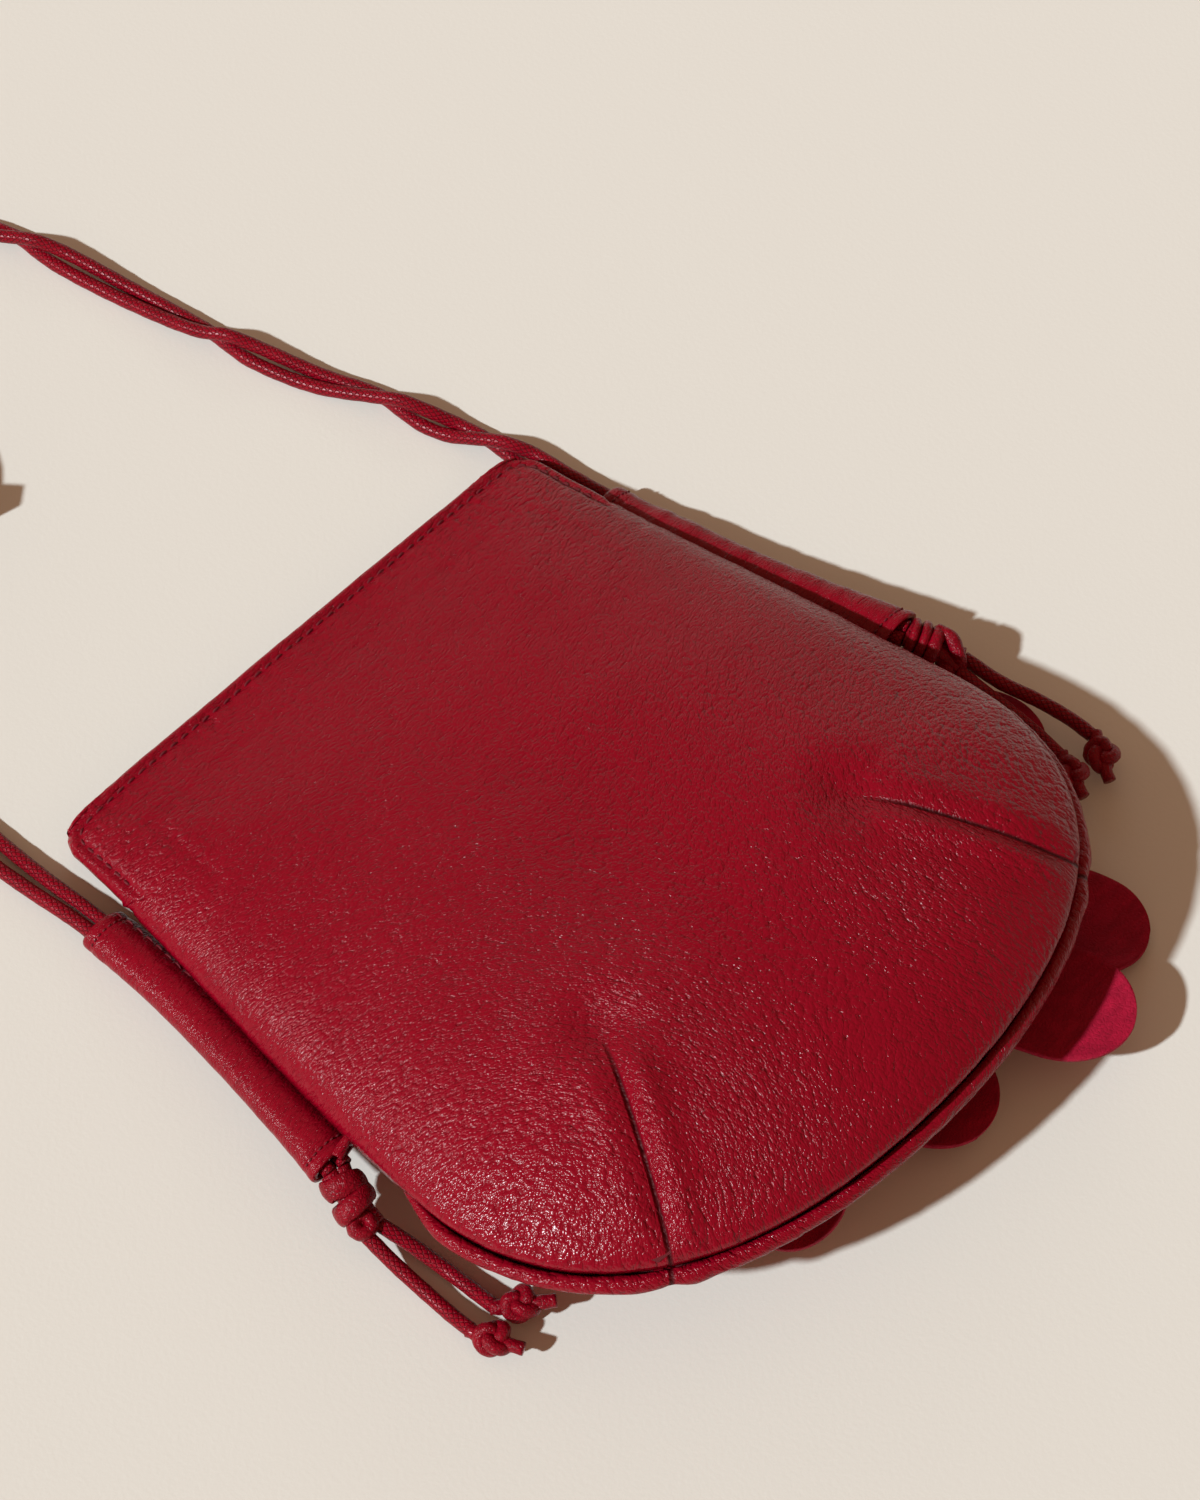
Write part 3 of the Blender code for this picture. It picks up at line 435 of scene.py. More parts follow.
def panel_base(flat, side, rim):
    """Smooth outer face over flat points, as in the frame: side 1 is the back, -1 the front."""
    distance, outwards = rim[:2]
    x, s = flat[..., 0], flat[..., 1]
    if side > 0:
        run = HEM_EDGE_RUN + (BACK_EDGE_RUN - HEM_EDGE_RUN) * smooth(s / BACK_EDGE_RUN)
        arch = BACK_HEM_ARCH * np.clip(1.0 - (x / MOUTH_HALF_WIDTH) ** 2, 0.0, 1.0)
        arch = arch * np.exp(-s / BACK_EDGE_RUN)
        growth = 1.0 - np.exp(-(np.clip(s, 0.0, None) / BACK_FULLNESS_RUN) ** BACK_FULLNESS_POWER)
        full = BACK_HEM_RISE + arch + BACK_FULLNESS * growth
        roll = smooth((s - BACK_ROLL_START) / ROLL_FADE)
        tuck = np.zeros_like(s)
    else:
        run = HEM_EDGE_RUN + (FRONT_EDGE_RUN - HEM_EDGE_RUN) * smooth(s / BACK_EDGE_RUN)
        full = seam_height(s) - SEAM_HALF_GAP - front_height(s)
        roll = smooth((s - FRONT_ROLL_START) / ROLL_FADE)
        tuck = FRONT_TUCK * smooth(s / FRONT_TUCK_FADE) * (1.0 - roll)
    height = seam_height(s) + side * (SEAM_HALF_GAP + full * rounded_edge(distance, run))
    if side > 0:
        width = distance / BACK_ROLL_WIDTH
        reach = BACK_ROLL_REACH * roll * width * np.exp(1.0 - width)
    else:
        turn = radians(160) - radians(215) * np.clip(distance / FRONT_ROLL_RUN, 0.0, 1.0)
        rolled = roll * (1.0 - smooth((distance - 0.8 * FRONT_ROLL_RUN) / FRONT_ROLL_RUN))
        bulge = FRONT_ROLL_RADIUS * (np.cos(turn) + cos(radians(20)))
        reach = rolled * (bulge + distance)
        rise = FRONT_ROLL_RADIUS * (np.sin(turn) - sin(radians(20)))
        height = height * (1.0 - rolled) + rolled * (seam_height(s) - SEAM_HALF_GAP + rise)
    shift = (reach - tuck * np.exp(-distance / FRONT_EDGE_RUN))[..., None] * outwards
    return np.stack((BAG_MIDDLE_X + x + shift[..., 0], MOUTH_Y - s - shift[..., 1], height),
                    axis=-1)


# Darts: tip, bend and foot as flat points on the right half
DART_TIP = (0.040, 0.1365)
DART_BEND = (0.050, 0.1560)
DART_FOOT = (0.0655, 0.1815)

# Forms of a dart: the valley's width, share, middle and width of each lip, height and reach of
# the creases round the tip, height and width of the swelling and of the dent there
DART_VALLEY_WIDTH = 0.0024
DART_LIPS = ((0.68, 0.0046, 0.0034), (0.36, -0.0060, 0.0040))
DART_RAY_HEIGHT, DART_RAY_REACH = 0.00022, 0.016
DART_SWELLING = (0.0016, 0.026)
DART_DENT = (0.0026, 0.0085)


def dart_measures(flat, hand):
    """Distance from a dart's line, positive towards the middle, the share along the line and how
    far past its end a point lies."""
    line = np.array((DART_TIP, DART_BEND, DART_FOOT)) * np.array((hand, 1.0))
    t = np.linspace(0.0, 1.0, 160)[:, None]
    curve = (1 - t) ** 2 * line[0] + 2 * (1 - t) * t * line[1] + t ** 2 * line[2]
    tangent = unit(np.gradient(curve, axis=0))
    beside = np.stack((-tangent[:, 1], tangent[:, 0]), axis=1) * hand
    points = flat.reshape(-1, 2)
    nearest = nearest_on(curve, points)
    apart = points - curve[nearest]
    across = np.sum(apart * beside[nearest], axis=1)
    over = np.sum(apart * tangent[nearest], axis=1)
    return tuple(values.reshape(flat.shape[:-1]) for values in (across, t[nearest, 0], over))


def dart_relief(flat, hand, depth):
    """A valley with a puffed lip on each side, a dent at its tip and creases round the tip."""
    across, share, over = dart_measures(flat, hand)
    grow = depth * smooth(share / 0.45 + 0.15) * np.exp(-np.abs(over) / 0.003)
    valley = -0.75 * grow * np.exp(-np.abs(across) / DART_VALLEY_WIDTH)
    lips = grow * sum(part * hump(across, middle, width) for part, middle, width in DART_LIPS)
    tip = flat - np.array(DART_TIP) * np.array((hand, 1.0))
    far = np.linalg.norm(tip, axis=-1)
    turn = np.arctan2(tip[..., 1], tip[..., 0])
    outwards = np.log(far + 0.001)
    rays = (patchwork(turn * 3.2, outwards * 0.9, 1.0, 5)
            + 0.6 * patchwork(turn * 7.0, outwards * 1.4, 1.0, 6))
    rays = DART_RAY_HEIGHT * rays * smooth(far / 0.006) * np.exp(-far / DART_RAY_REACH)
    tip_form = (DART_SWELLING[0] * hump(far, 0.0, DART_SWELLING[1])
                - DART_DENT[0] * hump(far, 0.0, DART_DENT[1]))
    return valley + lips + rays + tip_form


# Middle of the full lower corner on the right half, as a flat point, how far its heavy grain
# reaches, how blunt the arcs of creases round it are and how widely those of both corners blend
FULL_CORNER = (0.074, 0.158)
FULL_CORNER_REACH = 0.062
FLOW_BLUNTNESS = 0.030
FLOW_BLEND = 0.020

# Where the grain stands out beside the mouth: middle and reach, on the right half, and how far
# down from the mouth
MOUTH_GRAIN = (0.066, 0.016)
MOUTH_GRAIN_REACH = 0.022
HEM_GRAIN_REACH = 0.020


def from_full_corners(flat):
    """How far each flat point lies from the middle of either full lower corner."""
    return [np.hypot(flat[..., 0] - hand * FULL_CORNER[0], flat[..., 1] - FULL_CORNER[1])
            for hand in (-1.0, 1.0)]


def grain_flow(flat):
    """Values whose level lines the creases follow: arcs round the two full lower corners."""
    far = [np.hypot(distance, FLOW_BLUNTNESS) for distance in from_full_corners(flat)]
    return -FLOW_BLEND * np.log(np.exp(-far[0] / FLOW_BLEND) + np.exp(-far[1] / FLOW_BLEND))


def grain_strength(flat):
    """How strongly the pebbles stand out: most on the full corners, and more near the mouth."""
    near = sum(hump(distance, 0.0, FULL_CORNER_REACH) for distance in from_full_corners(flat))
    beside = np.hypot(np.abs(flat[..., 0]) - MOUTH_GRAIN[0], flat[..., 1] - MOUTH_GRAIN[1])
    return (0.30 + 0.55 * np.clip(near, 0.0, 1.0) + 0.40 * hump(beside, 0.0, MOUTH_GRAIN_REACH)
            + 0.20 * hump(flat[..., 1], 0.0, HEM_GRAIN_REACH))


# Heights of the folds: of the hem, of the row that its stitches press in, of the crinkles
# beside the row and over the facing's edge, of the ledge that this edge makes
HEM_FOLD, HEM_FOLD_RUN = 0.0005, 0.0004
HEM_PUFF = 0.00035
STITCH_GROOVE, STITCH_GROOVE_WIDTH = 0.00062, 0.0009
ROW_CRINKLE, LEDGE_CRINKLE = 0.00024, 0.00014
LEDGE, LEDGE_FROM_EDGE, LEDGE_WIDTH = 0.00022, 0.0165, 0.0016

# Height and size of the soft and small folds, and heights of the puckers along the sewn rim, of
# the ticks where the front's rolled seam is gathered and of the slanting ridges
SOFT_FOLD, SOFT_FOLD_SIZE = 0.00042, 0.034
SMALL_FOLD, SMALL_FOLD_SIZE = 0.00018, 0.013
PUCKER, TICK, RIDGE = 0.00013, 0.00022, 0.00010
RIM_CALM_RUN = 0.012
FOLD_BLEND = 0.0001


def edge_relief(edge, way, inset):
    """The hem: a rounded fold, a row pressed in by the stitches and small crinkles across it."""
    fold = -HEM_FOLD * np.exp(-edge / HEM_FOLD_RUN)
    puff = HEM_PUFF * hump(edge, inset * 0.42, inset * 0.34)
    pressed = -STITCH_GROOVE * hump(edge, inset, STITCH_GROOVE_WIDTH)
    crinkle = (patchwork(way, edge * 0.25, 0.0021, 11)
               + 0.7 * patchwork(way, edge * 0.3, 0.0042, 12))
    crinkle = crinkle * (ROW_CRINKLE * hump(edge, inset + 0.0012, 0.0040)
                         + LEDGE_CRINKLE * hump(edge, LEDGE_FROM_EDGE, 0.0035))
    ledge = -LEDGE * hump(edge, LEDGE_FROM_EDGE, LEDGE_WIDTH)
    ledge = ledge * (1.0 + 0.6 * patchwork(way, edge, 0.012, 13))
    return fold + puff + pressed + crinkle + ledge


def panel_relief(flat, side, rim, edge):
    """How far the leather's folds lift it off the smooth face: soft folds that calm down at the
    sewn rim, puckers along it, the hem and the darts, eased where they would go too deep."""
    x, s = flat[..., 0], flat[..., 1]
    far_in, way = rim[0], rim[2]
    calm = smooth(far_in / RIM_CALM_RUN)
    relief = calm * (SOFT_FOLD * patchwork(x, s, SOFT_FOLD_SIZE, 1)
                     + SMALL_FOLD * patchwork(x + 0.4 * s, s, SMALL_FOLD_SIZE, 2))
    pucker = (patchwork(way, far_in * 0.3, 0.0036, 21)
              + 0.5 * patchwork(way, far_in * 0.4, 0.0017, 22))
    relief = relief + PUCKER * pucker * hump(far_in, 0.003, 0.0045) * smooth((s - 0.03) / 0.02)
    if side < 0:
        ticks = patchwork(way, far_in * 0.25, 0.0011, 23) * patchwork(way, far_in, 0.006, 24)
        relief = relief + TICK * ticks * hump(far_in, 0.002, 0.0022) * smooth((s - 0.12) / 0.03)
    relief = relief + edge_relief(edge[0], edge[2], sizes().stitch_inset)
    if side > 0:
        ridge = np.sin((x + 0.35 * s) / 0.0042 + 3.0 * patchwork(x, s, 0.020, 3))
        relief = relief + RIDGE * ridge * calm * hump(s, 0.115, 0.05) * hump(x, -0.05, 0.035)
    for hand in (-1.0, 1.0):
        relief = relief + dart_relief(flat, hand, sizes().dart_depth) * smooth(far_in / 0.0075)
    to_foot, to_corner = side_curves()[:2]
    for corner in (to_foot[-1], to_corner[-1]):
        far = np.hypot(np.abs(x) - corner[0], s - corner[1])
        relief = relief * smooth((far + 0.0002) / 0.0026)
    return DEEPEST_FOLD + FOLD_BLEND * np.logaddexp(0.0, (relief - DEEPEST_FOLD) / FOLD_BLEND)


# Length of the short steps that give a normal, and how far from the sewn rim the face may no
# longer overhang
NORMAL_STEP = 0.0004
CLEAR_OF_RIM = 0.008


def panel_normals(flat, side, base):
    """Outward normals of the smooth face, from short steps towards the panel's middle."""
    towards = np.sign(np.array((0.0, BAG_LENGTH / 2)) - flat + 1e-9)
    sides = []
    for axis in (0, 1):
        moved = flat.copy()
        moved[..., axis] += NORMAL_STEP * towards[..., axis]
        beside = panel_base(moved, side, measure_from(sewn_rim(), moved))
        sides.append((beside - base) * towards[..., axis][..., None])
    normal = -side * np.cross(sides[0], sides[1])
    return normal / (np.linalg.norm(normal, axis=-1)[..., None] + 1e-12)


def panel_face(flat, side):
    """Outer face with all folds, its outward normals and the measures from its free edge."""
    rim = measure_from(sewn_rim(), flat)
    edge = measure_from(free_edge(), flat)
    base = panel_base(flat, side, rim)
    normal = panel_normals(flat, side, base)
    overturned = (normal[..., 2] * side < 0.3) & (rim[0] > CLEAR_OF_RIM)
    normal[overturned] = (0.0, 0.0, side)
    points = base + normal * panel_relief(flat, side, rim, edge)[..., None]
    points[..., 2] = np.maximum(points[..., 2], FLOOR_GAP)
    return points, normal, edge


def graded(count, crowded):
    """Net lines that lie closer together near both edges and near some places."""
    fine = np.linspace(0.0, 1.0, 2001)
    density = 1.0 + 2.4 * (np.exp(-fine / 0.03) + np.exp((fine - 1.0) / 0.03))
    for middle, width, more in crowded:
        density = density + more * hump(fine, middle, width)
    total = np.concatenate(((0.0,), np.cumsum((density[1:] + density[:-1]) / 2)))
    return np.interp(np.linspace(0.0, total[-1], count), total, fine)


# Meshes from arrays

def net_faces(rows, columns, close_columns=False, close_rows=False):
    """Corner numbers of the quads of a net stored row by row."""
    row = np.arange(rows if close_rows else rows - 1)[:, None]
    column = np.arange(columns if close_columns else columns - 1)[None, :]
    after, above = (column + 1) % columns, (row + 1) % rows
    quads = np.stack((row * columns + column, row * columns + after,
                      above * columns + after, above * columns + column), axis=-1)
    return quads.reshape(-1, 4)


def add_piece(name, points, faces, surface, extra_faces=()):
    """A smooth-shaded mesh that rides on the bag and takes one finish."""
    mesh = bpy.data.meshes.new(name)
    mesh.from_pydata(points.reshape(-1, 3), [], np.asarray(faces).tolist() + list(extra_faces))
    mesh.update()
    mesh.shade_smooth()
    piece = bpy.data.objects.new(name, mesh)
    bpy.context.collection.objects.link(piece)
    mesh.materials.append(surface)
    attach(piece, "root")
    return piece


def add_values(piece, name, values):
    """Keeps one number for each point of a mesh."""
    attribute = piece.data.attributes.new(name, "FLOAT", "POINT")
    attribute.data.foreach_set("value", np.asarray(values, dtype=np.float32).ravel())


def thicken(piece, thickness):
    """Gives a leaf its thickness, half of it to each side."""
    solid = piece.modifiers.new("Thickness", "SOLIDIFY")
    solid.thickness = thickness
    solid.offset = 0.0


def smooth_route(points, step):
    """A smooth curve through chosen points, read at even steps: blends of straight stretches
    whose timing follows the square root of their lengths."""
    points = np.array(points)
    chord = np.sqrt(np.linalg.norm(np.diff(points, axis=0), axis=1))
    knots = np.concatenate(((0.0,), np.cumsum(chord)))
    padded = np.vstack((2 * points[0] - points[1], points, 2 * points[-1] - points[-2]))
    times = np.concatenate(((-chord[0],), knots, (knots[-1] + chord[-1],)))
    pieces = []
    for index in range(len(points) - 1):
        t0, t1, t2, t3 = times[index:index + 4]
        p0, p1, p2, p3 = padded[index:index + 4]
        t = (t1 + np.linspace(0.0, 1.0, 24, endpoint=False) * (t2 - t1))[:, None]
        a1 = p0 * (t1 - t) / (t1 - t0) + p1 * (t - t0) / (t1 - t0)
        a2 = p1 * (t2 - t) / (t2 - t1) + p2 * (t - t1) / (t2 - t1)
        a3 = p2 * (t3 - t) / (t3 - t2) + p3 * (t - t2) / (t3 - t2)
        b1 = a1 * (t2 - t) / (t2 - t0) + a2 * (t - t0) / (t2 - t0)
        b2 = a2 * (t3 - t) / (t3 - t1) + a3 * (t - t1) / (t3 - t1)
        pieces.append(b1 * (t2 - t) / (t2 - t1) + b2 * (t - t1) / (t2 - t1))
    fine = np.vstack((*pieces, points[-1:]))
    count = max(4, round(polyline_length(fine) / step) + 1)
    return along(fine, np.linspace(0.0, 1.0, count))


def frames(path, up, closed):
    """Unit sideways and upward directions at each point of a path, across its tangent."""
    if closed:
        tangent = unit(np.roll(path, -1, axis=0) - np.roll(path, 1, axis=0))
    else:
        tangent = unit(np.gradient(path, axis=0))
    sideways = unit(np.cross(tangent, np.asarray(up, dtype=float)))
    return sideways, np.cross(sideways, tangent)


def tube_net(path, radius, sides, up=(0, 0, 1), closed=False, squash=1.0):
    """A circle carried along a path; returns the net, the angle round it and the way along it."""
    sideways, upward = frames(path, up, closed)
    steps = np.linalg.norm(np.diff(path, axis=0), axis=1)
    way = np.concatenate(((0.0,), np.cumsum(steps)))
    angle = 2 * pi * np.arange(sides) / sides
    way, angle = np.meshgrid(way, angle, indexing="ij")
    size = np.broadcast_to(np.asarray(radius), way.shape)
    out = (np.cos(angle)[..., None] * sideways[:, None, :]
           + squash * np.sin(angle)[..., None] * upward[:, None, :])
    return path[:, None, :] + size[..., None] * out, angle, way


def braid_relief(angle, way, diameter):
    """Strands that cross like a plait: two sets of slanting ridges that take turns on top."""
    lay = 2 * pi / (diameter * 2.1)
    left, right = 2 * angle + lay * way, 2 * angle - lay * way
    return np.maximum(np.sin(left) * (np.cos(right) > 0), np.sin(right) * (np.cos(right) <= 0))


def add_cord_maps(piece, angle, way):
    """A UV map that runs round the cord and along it, one unit for each metre."""
    layer = piece.data.uv_layers.new(name="Cord")
    corners = np.zeros(len(piece.data.loops), dtype=np.int32)
    piece.data.loops.foreach_get("vertex_index", corners)
    across = (angle / (2 * pi)).ravel()[corners]
    lengthwise = way.ravel()[corners]
    starts = np.zeros(len(piece.data.polygons), dtype=np.int32)
    totals = np.zeros(len(piece.data.polygons), dtype=np.int32)
    piece.data.polygons.foreach_get("loop_start", starts)
    piece.data.polygons.foreach_get("loop_total", totals)
    quads = starts[totals == 4]
    for first in range(4):
        spots = quads + first
        wraps = (across[spots] == 0) & (across[quads + (first + 1) % 4] > 0.5)
        wraps |= (across[spots] == 0) & (across[quads + (first - 1) % 4] > 0.5)
        wraps |= (across[spots] == 0) & (across[quads + (first + 2) % 4] > 0.5)
        across[spots[wraps]] = 1.0
    layer.data.foreach_set("uv", np.stack((across, lengthwise), axis=1).ravel())


def add_plaited_cord(name, path, radius):
    """A closed mesh tube: a circle carried along a path, raised by the plait, with flat ends."""
    net, angle, way = tube_net(path, radius, CORD_SIDES)
    out = (net - path[:, None, :]) / radius
    net = net + out * (BRAID_DEPTH * braid_relief(angle, way, 2 * radius))[..., None]
    rows, columns = net.shape[:2]
    ends = [tuple(range(columns)), tuple(range((rows - 1) * columns, rows * columns))[::-1]]
    cord = add_piece(name, net, net_faces(rows, columns, close_columns=True)[:, ::-1],
                     finish_of("cord_braid"), ends)
    add_cord_maps(cord, angle, way)
    return cord


# Finishes

class Socket:
    """A node's output that can stand in sums and products; each one adds its Math node."""

    def __init__(self, maker, output):
        self.maker = maker
        self.output = output

    def math(self, operation, *others):
        return self.maker.node("ShaderNodeMath", {"operation": operation},
                               dict(enumerate((self, *others))))

    def __add__(self, other):
        return self.math("ADD", other)

    def __sub__(self, other):
        return self.math("SUBTRACT", other)

    def __rsub__(self, other):
        return self.maker.node("ShaderNodeMath", {"operation": "SUBTRACT"}, {0: other, 1: self})

    def __mul__(self, other):
        return self.math("MULTIPLY", other)

    def __truediv__(self, other):
        return self.math("DIVIDE", other)

    def __pow__(self, other):
        return self.math("POWER", other)

    __radd__ = __add__
    __rmul__ = __mul__

    def step(self, low, high, to_low=0.0, to_high=1.0):
        """A smooth step from one value to another between two limits."""
        return self.maker.node("ShaderNodeMapRange", {"interpolation_type": "SMOOTHSTEP"},
                               {"Value": self, "From Min": low, "From Max": high,
                                "To Min": to_low, "To Max": to_high})


class Finish:
    """One material's nodes."""

    def __init__(self, name):
        self.material = bpy.data.materials.new(name)
        self.material.use_nodes = True
        self.tree = self.material.node_tree
        self.shader = self.tree.nodes["Principled BSDF"]

    def fill(self, socket, value):
        if isinstance(value, Socket):
            self.tree.links.new(value.output, socket)
        elif hasattr(value, "__len__") and len(value) == 3 and socket.type == "RGBA":
            socket.default_value = (*value, 1.0)
        else:
            socket.default_value = value

    def node(self, kind, settings=None, inputs=None, output=0):
        """Adds a node: its settings first, then the values or links of its sockets."""
        made = self.tree.nodes.new(kind)
        for key, value in (settings or {}).items():
            setattr(made, key, value)
        for key, value in (inputs or {}).items():
            self.fill(made.inputs[key], value)
        return Socket(self, made.outputs[output])

    def place(self):
        return self.node("ShaderNodeTexCoord", output="Object")

    def uv(self, name):
        return self.node("ShaderNodeUVMap", {"uv_map": name})

    def value(self, name):
        return self.node("ShaderNodeAttribute", {"attribute_name": name}, output="Fac")

    def mapped(self, vector, scale=(1, 1, 1), turn=(0, 0, 0)):
        return self.node("ShaderNodeMapping", {},
                         {"Vector": vector, "Scale": scale, "Rotation": turn})

    def noise(self, vector, size, detail=3.0, roughness=0.5, output="Fac"):
        return self.node("ShaderNodeTexNoise", {},
                         {"Vector": vector, "Scale": 1.0 / size, "Detail": detail,
                          "Roughness": roughness}, output)

    def cells(self, vector, size, feature="DISTANCE_TO_EDGE", output="Distance"):
        return self.node("ShaderNodeTexVoronoi", {"feature": feature},
                         {"Vector": vector, "Scale": 1.0 / size}, output)

    def waves(self, vector, size, distortion=0.0):
        return self.node("ShaderNodeTexWave", {},
                         {"Vector": vector, "Scale": 0.5 / size, "Distortion": distortion}, "Fac")

    def warped(self, vector, size, amount):
        """A place moved about by soft noise, so that a pattern isn't regular."""
        drift = self.noise(vector, size, 2.0, output="Color")
        centred = self.node("ShaderNodeVectorMath", {"operation": "SUBTRACT"},
                            {0: drift, 1: (0.5, 0.5, 0.5)})
        scaled = self.node("ShaderNodeVectorMath", {"operation": "SCALE"},
                           {0: centred, "Scale": amount})
        return self.node("ShaderNodeVectorMath", {"operation": "ADD"}, {0: vector, 1: scaled})

    def mix(self, share, low, high):
        """A colour between two colours."""
        made = self.tree.nodes.new("ShaderNodeMix")
        made.data_type = "RGBA"
        self.fill(made.inputs[0], share)
        self.fill(made.inputs[6], low)
        self.fill(made.inputs[7], high)
        return Socket(self, made.outputs[2])

    def bump(self, height, distance):
        return self.node("ShaderNodeBump", {},
                         {"Height": height, "Distance": distance, "Strength": 1.0})

    def shade(self, **values):
        """Sets the shader's own sockets: words with _ for spaces."""
        for key, value in values.items():
            self.fill(self.shader.inputs[key.replace("_", " ")], value)
        return self.material


def shaded(colour, factor):
    """A colour made darker or paler by a factor."""
    return tuple(min(1.0, part * factor) for part in colour)


def domes(finish, place, size):
    """Rounded pebbles with broad tops, highest at the middle of each cell."""
    return 1.0 - (finish.cells(place, size, "F1") * 1.25) ** 2.8


def grained_leather(name, panel=False):
    """Soft pebbled leather: domed pebbles and fine grains, drawn out along the folds, with thin
    creases between them, smoothest on top so that the pebbles that face the light sparkle."""
    finish = Finish(name)
    colour = tuple(colours().leather)
    size = sizes().grain_size
    place = finish.place()
    if panel:
        flow = finish.node("ShaderNodeCombineXYZ", {}, {"Z": finish.value("flow")})
        drawn = finish.node("ShaderNodeVectorMath", {"operation": "ADD"}, {0: place, 1: flow})
        strength = finish.value("grain")
    else:
        drawn = finish.mapped(place, (0.7, 2.8, 0.9))
        strength = 0.30
    pebbles = domes(finish, finish.warped(drawn, size * 3.5, size * 0.9), size)
    grains = domes(finish, finish.warped(drawn, size, size * 0.4), size * 0.45)
    lines = finish.noise(finish.warped(drawn, 0.020, 0.008), 0.0060, 3.0, 0.55)
    creases = (lines - 0.5).math("ABSOLUTE").step(0.0, 0.035)
    calm = finish.noise(place, 0.026, 2.0).step(0.34, 0.64, 0.65, 1.0)
    broad = finish.noise(drawn, 0.014, 2.0)
    height = pebbles * calm * strength + grains * 0.32 + creases * 0.24 + broad * 0.8
    rough = 0.25 - 0.05 * pebbles + (finish.noise(place, 0.020, 2.0) - 0.5) * 0.05
    # Painted shade: the colour darkens between the pebbles and in the creases, where the grain's
    # grooves lie low.
    depth = (pebbles * 0.6 + creases * 0.5).step(0.25, 0.80)
    base = finish.mix(depth, shaded(colour, 0.87), colour)
    cloudy = finish.noise(place, 0.045, 3.0).step(0.3, 0.7)
    base = finish.mix(cloudy * 0.30, base, shaded(colour, 1.20))
    if panel:
        # Painted shade: along each dart's crease the colour is darkened to a fifth, as the shade
        # in the fold; the same line also dips the bump and roughens it.
        line = 1.0 - finish.value("dart").math("ABSOLUTE").step(0.00006, 0.00085)
        line = line * finish.value("seam")
        height = height - line * 1.7
        rough = rough + line * 0.35
        base = finish.mix(line, base, shaded(colour, 0.20))
        # Paler within 1.2 mm of the free edge.
        paler_edge_band = finish.value("edge").step(0.0, 0.0012)
        base = finish.mix(paler_edge_band, shaded(colour, 1.25), base)
    return finish.shade(Base_Color=base, Roughness=rough, Normal=finish.bump(height, 0.00032),
                        Specular_IOR_Level=0.22)


def napped_leather(name):
    """Soft leather with a short nap: cloudy, with fine fibres and a pale sheen."""
    finish = Finish(name)
    colour = tuple(colours().petals)
    place = finish.place()
    nap = finish.noise(place, 0.00045, 4.0, 0.7)
    brushed = finish.noise(finish.mapped(place, (1, 2.5, 1)), 0.006, 4.0, 0.6)
    pores = finish.cells(finish.warped(place, 0.002, 0.001), 0.0011).step(0.0, 0.25)
    base = finish.mix(brushed.step(0.3, 0.7), shaded(colour, 0.74), shaded(colour, 1.10))
    base = finish.mix(nap.step(0.25, 0.7) * 0.4, base, shaded(colour, 0.60))
    height = nap * 0.5 + brushed * 0.6 + pores * 0.35
    return finish.shade(Base_Color=base, Roughness=0.78 - 0.14 * nap,
                        Normal=finish.bump(height, 0.00022), Specular_IOR_Level=0.12,
                        Sheen_Weight=0.09, Sheen_Roughness=0.45,
                        Sheen_Tint=(1.0, 0.35, 0.42, 1.0))


def braided_leather(name):
    """Plaited leather cord: painted shade darkens the gaps between the strands, and the strands
    are paler in random patches.
    """
    finish = Finish(name)
    colour = tuple(colours().cords)
    uv = finish.uv("Cord")
    parts = finish.tree.nodes.new("ShaderNodeSeparateXYZ")
    finish.fill(parts.inputs[0], uv)
    around, length = Socket(finish, parts.outputs[0]), Socket(finish, parts.outputs[1])
    lay = 2 * pi / (sizes().cord_diameter * 1.05)
    left = (around * (8 * pi) + length * lay).math("SINE")
    right = (around * (8 * pi) - length * lay).math("SINE")
    strands = (left * right).math("ABSOLUTE").step(0.0, 0.45)
    fibre = finish.noise(finish.place(), 0.0006, 3.0, 0.6)
    # Paler in random patches.
    paler_patch = finish.noise(finish.place(), 0.006, 2.0).step(0.42, 0.62)
    # Painted shade: darker in the gaps between the strands.
    base = finish.mix(strands, shaded(colour, 0.55), colour)
    base = finish.mix(paler_patch * 0.3, base, shaded(colour, 1.35))
    height = strands * 1.0 + fibre * 0.35
    return finish.shade(Base_Color=base, Roughness=0.31 - 0.08 * strands + 0.08 * fibre,
                        Normal=finish.bump(height, 0.00022), Specular_IOR_Level=0.19)


def plain_leather(name, factor=1.0):
    """Smooth leather of the knots: small pores and short creases."""
    finish = Finish(name)
    colour = shaded(tuple(colours().cords), factor)
    place = finish.place()
    pores = finish.cells(finish.warped(place, 0.002, 0.0012), 0.0009).step(0.0, 0.22)
    creases = finish.noise(finish.mapped(place, (1, 1, 2.5)), 0.0016, 3.0, 0.6)
    # Painted shade: darker along the pores' fine grooves.
    base = finish.mix(pores, shaded(colour, 0.62), colour)
    base = finish.mix(finish.noise(place, 0.004, 2.0).step(0.35, 0.65) * 0.35, base,
                      shaded(colour, 1.3))
    return finish.shade(Base_Color=base, Roughness=0.28 - 0.06 * pores + 0.08 * creases,
                        Normal=finish.bump(pores * 0.35 + creases * 0.9, 0.00022),
                        Specular_IOR_Level=0.19)


def twisted_thread(name):
    """Sewing thread: slanting twists with a soft shine."""
    finish = Finish(name)
    colour = tuple(colours().thread)
    twist = finish.waves(finish.mapped(finish.place(), turn=(0.6, 0.3, 0.8)), 0.00028, 1.5)
    # Painted shade and highlight: the twists are darker in their grooves and paler on their
    # ridges.
    base = finish.mix(twist, shaded(colour, 0.6), shaded(colour, 1.15))
    return finish.shade(Base_Color=base, Roughness=0.62 - 0.12 * twist,
                        Normal=finish.bump(twist, 0.00006))


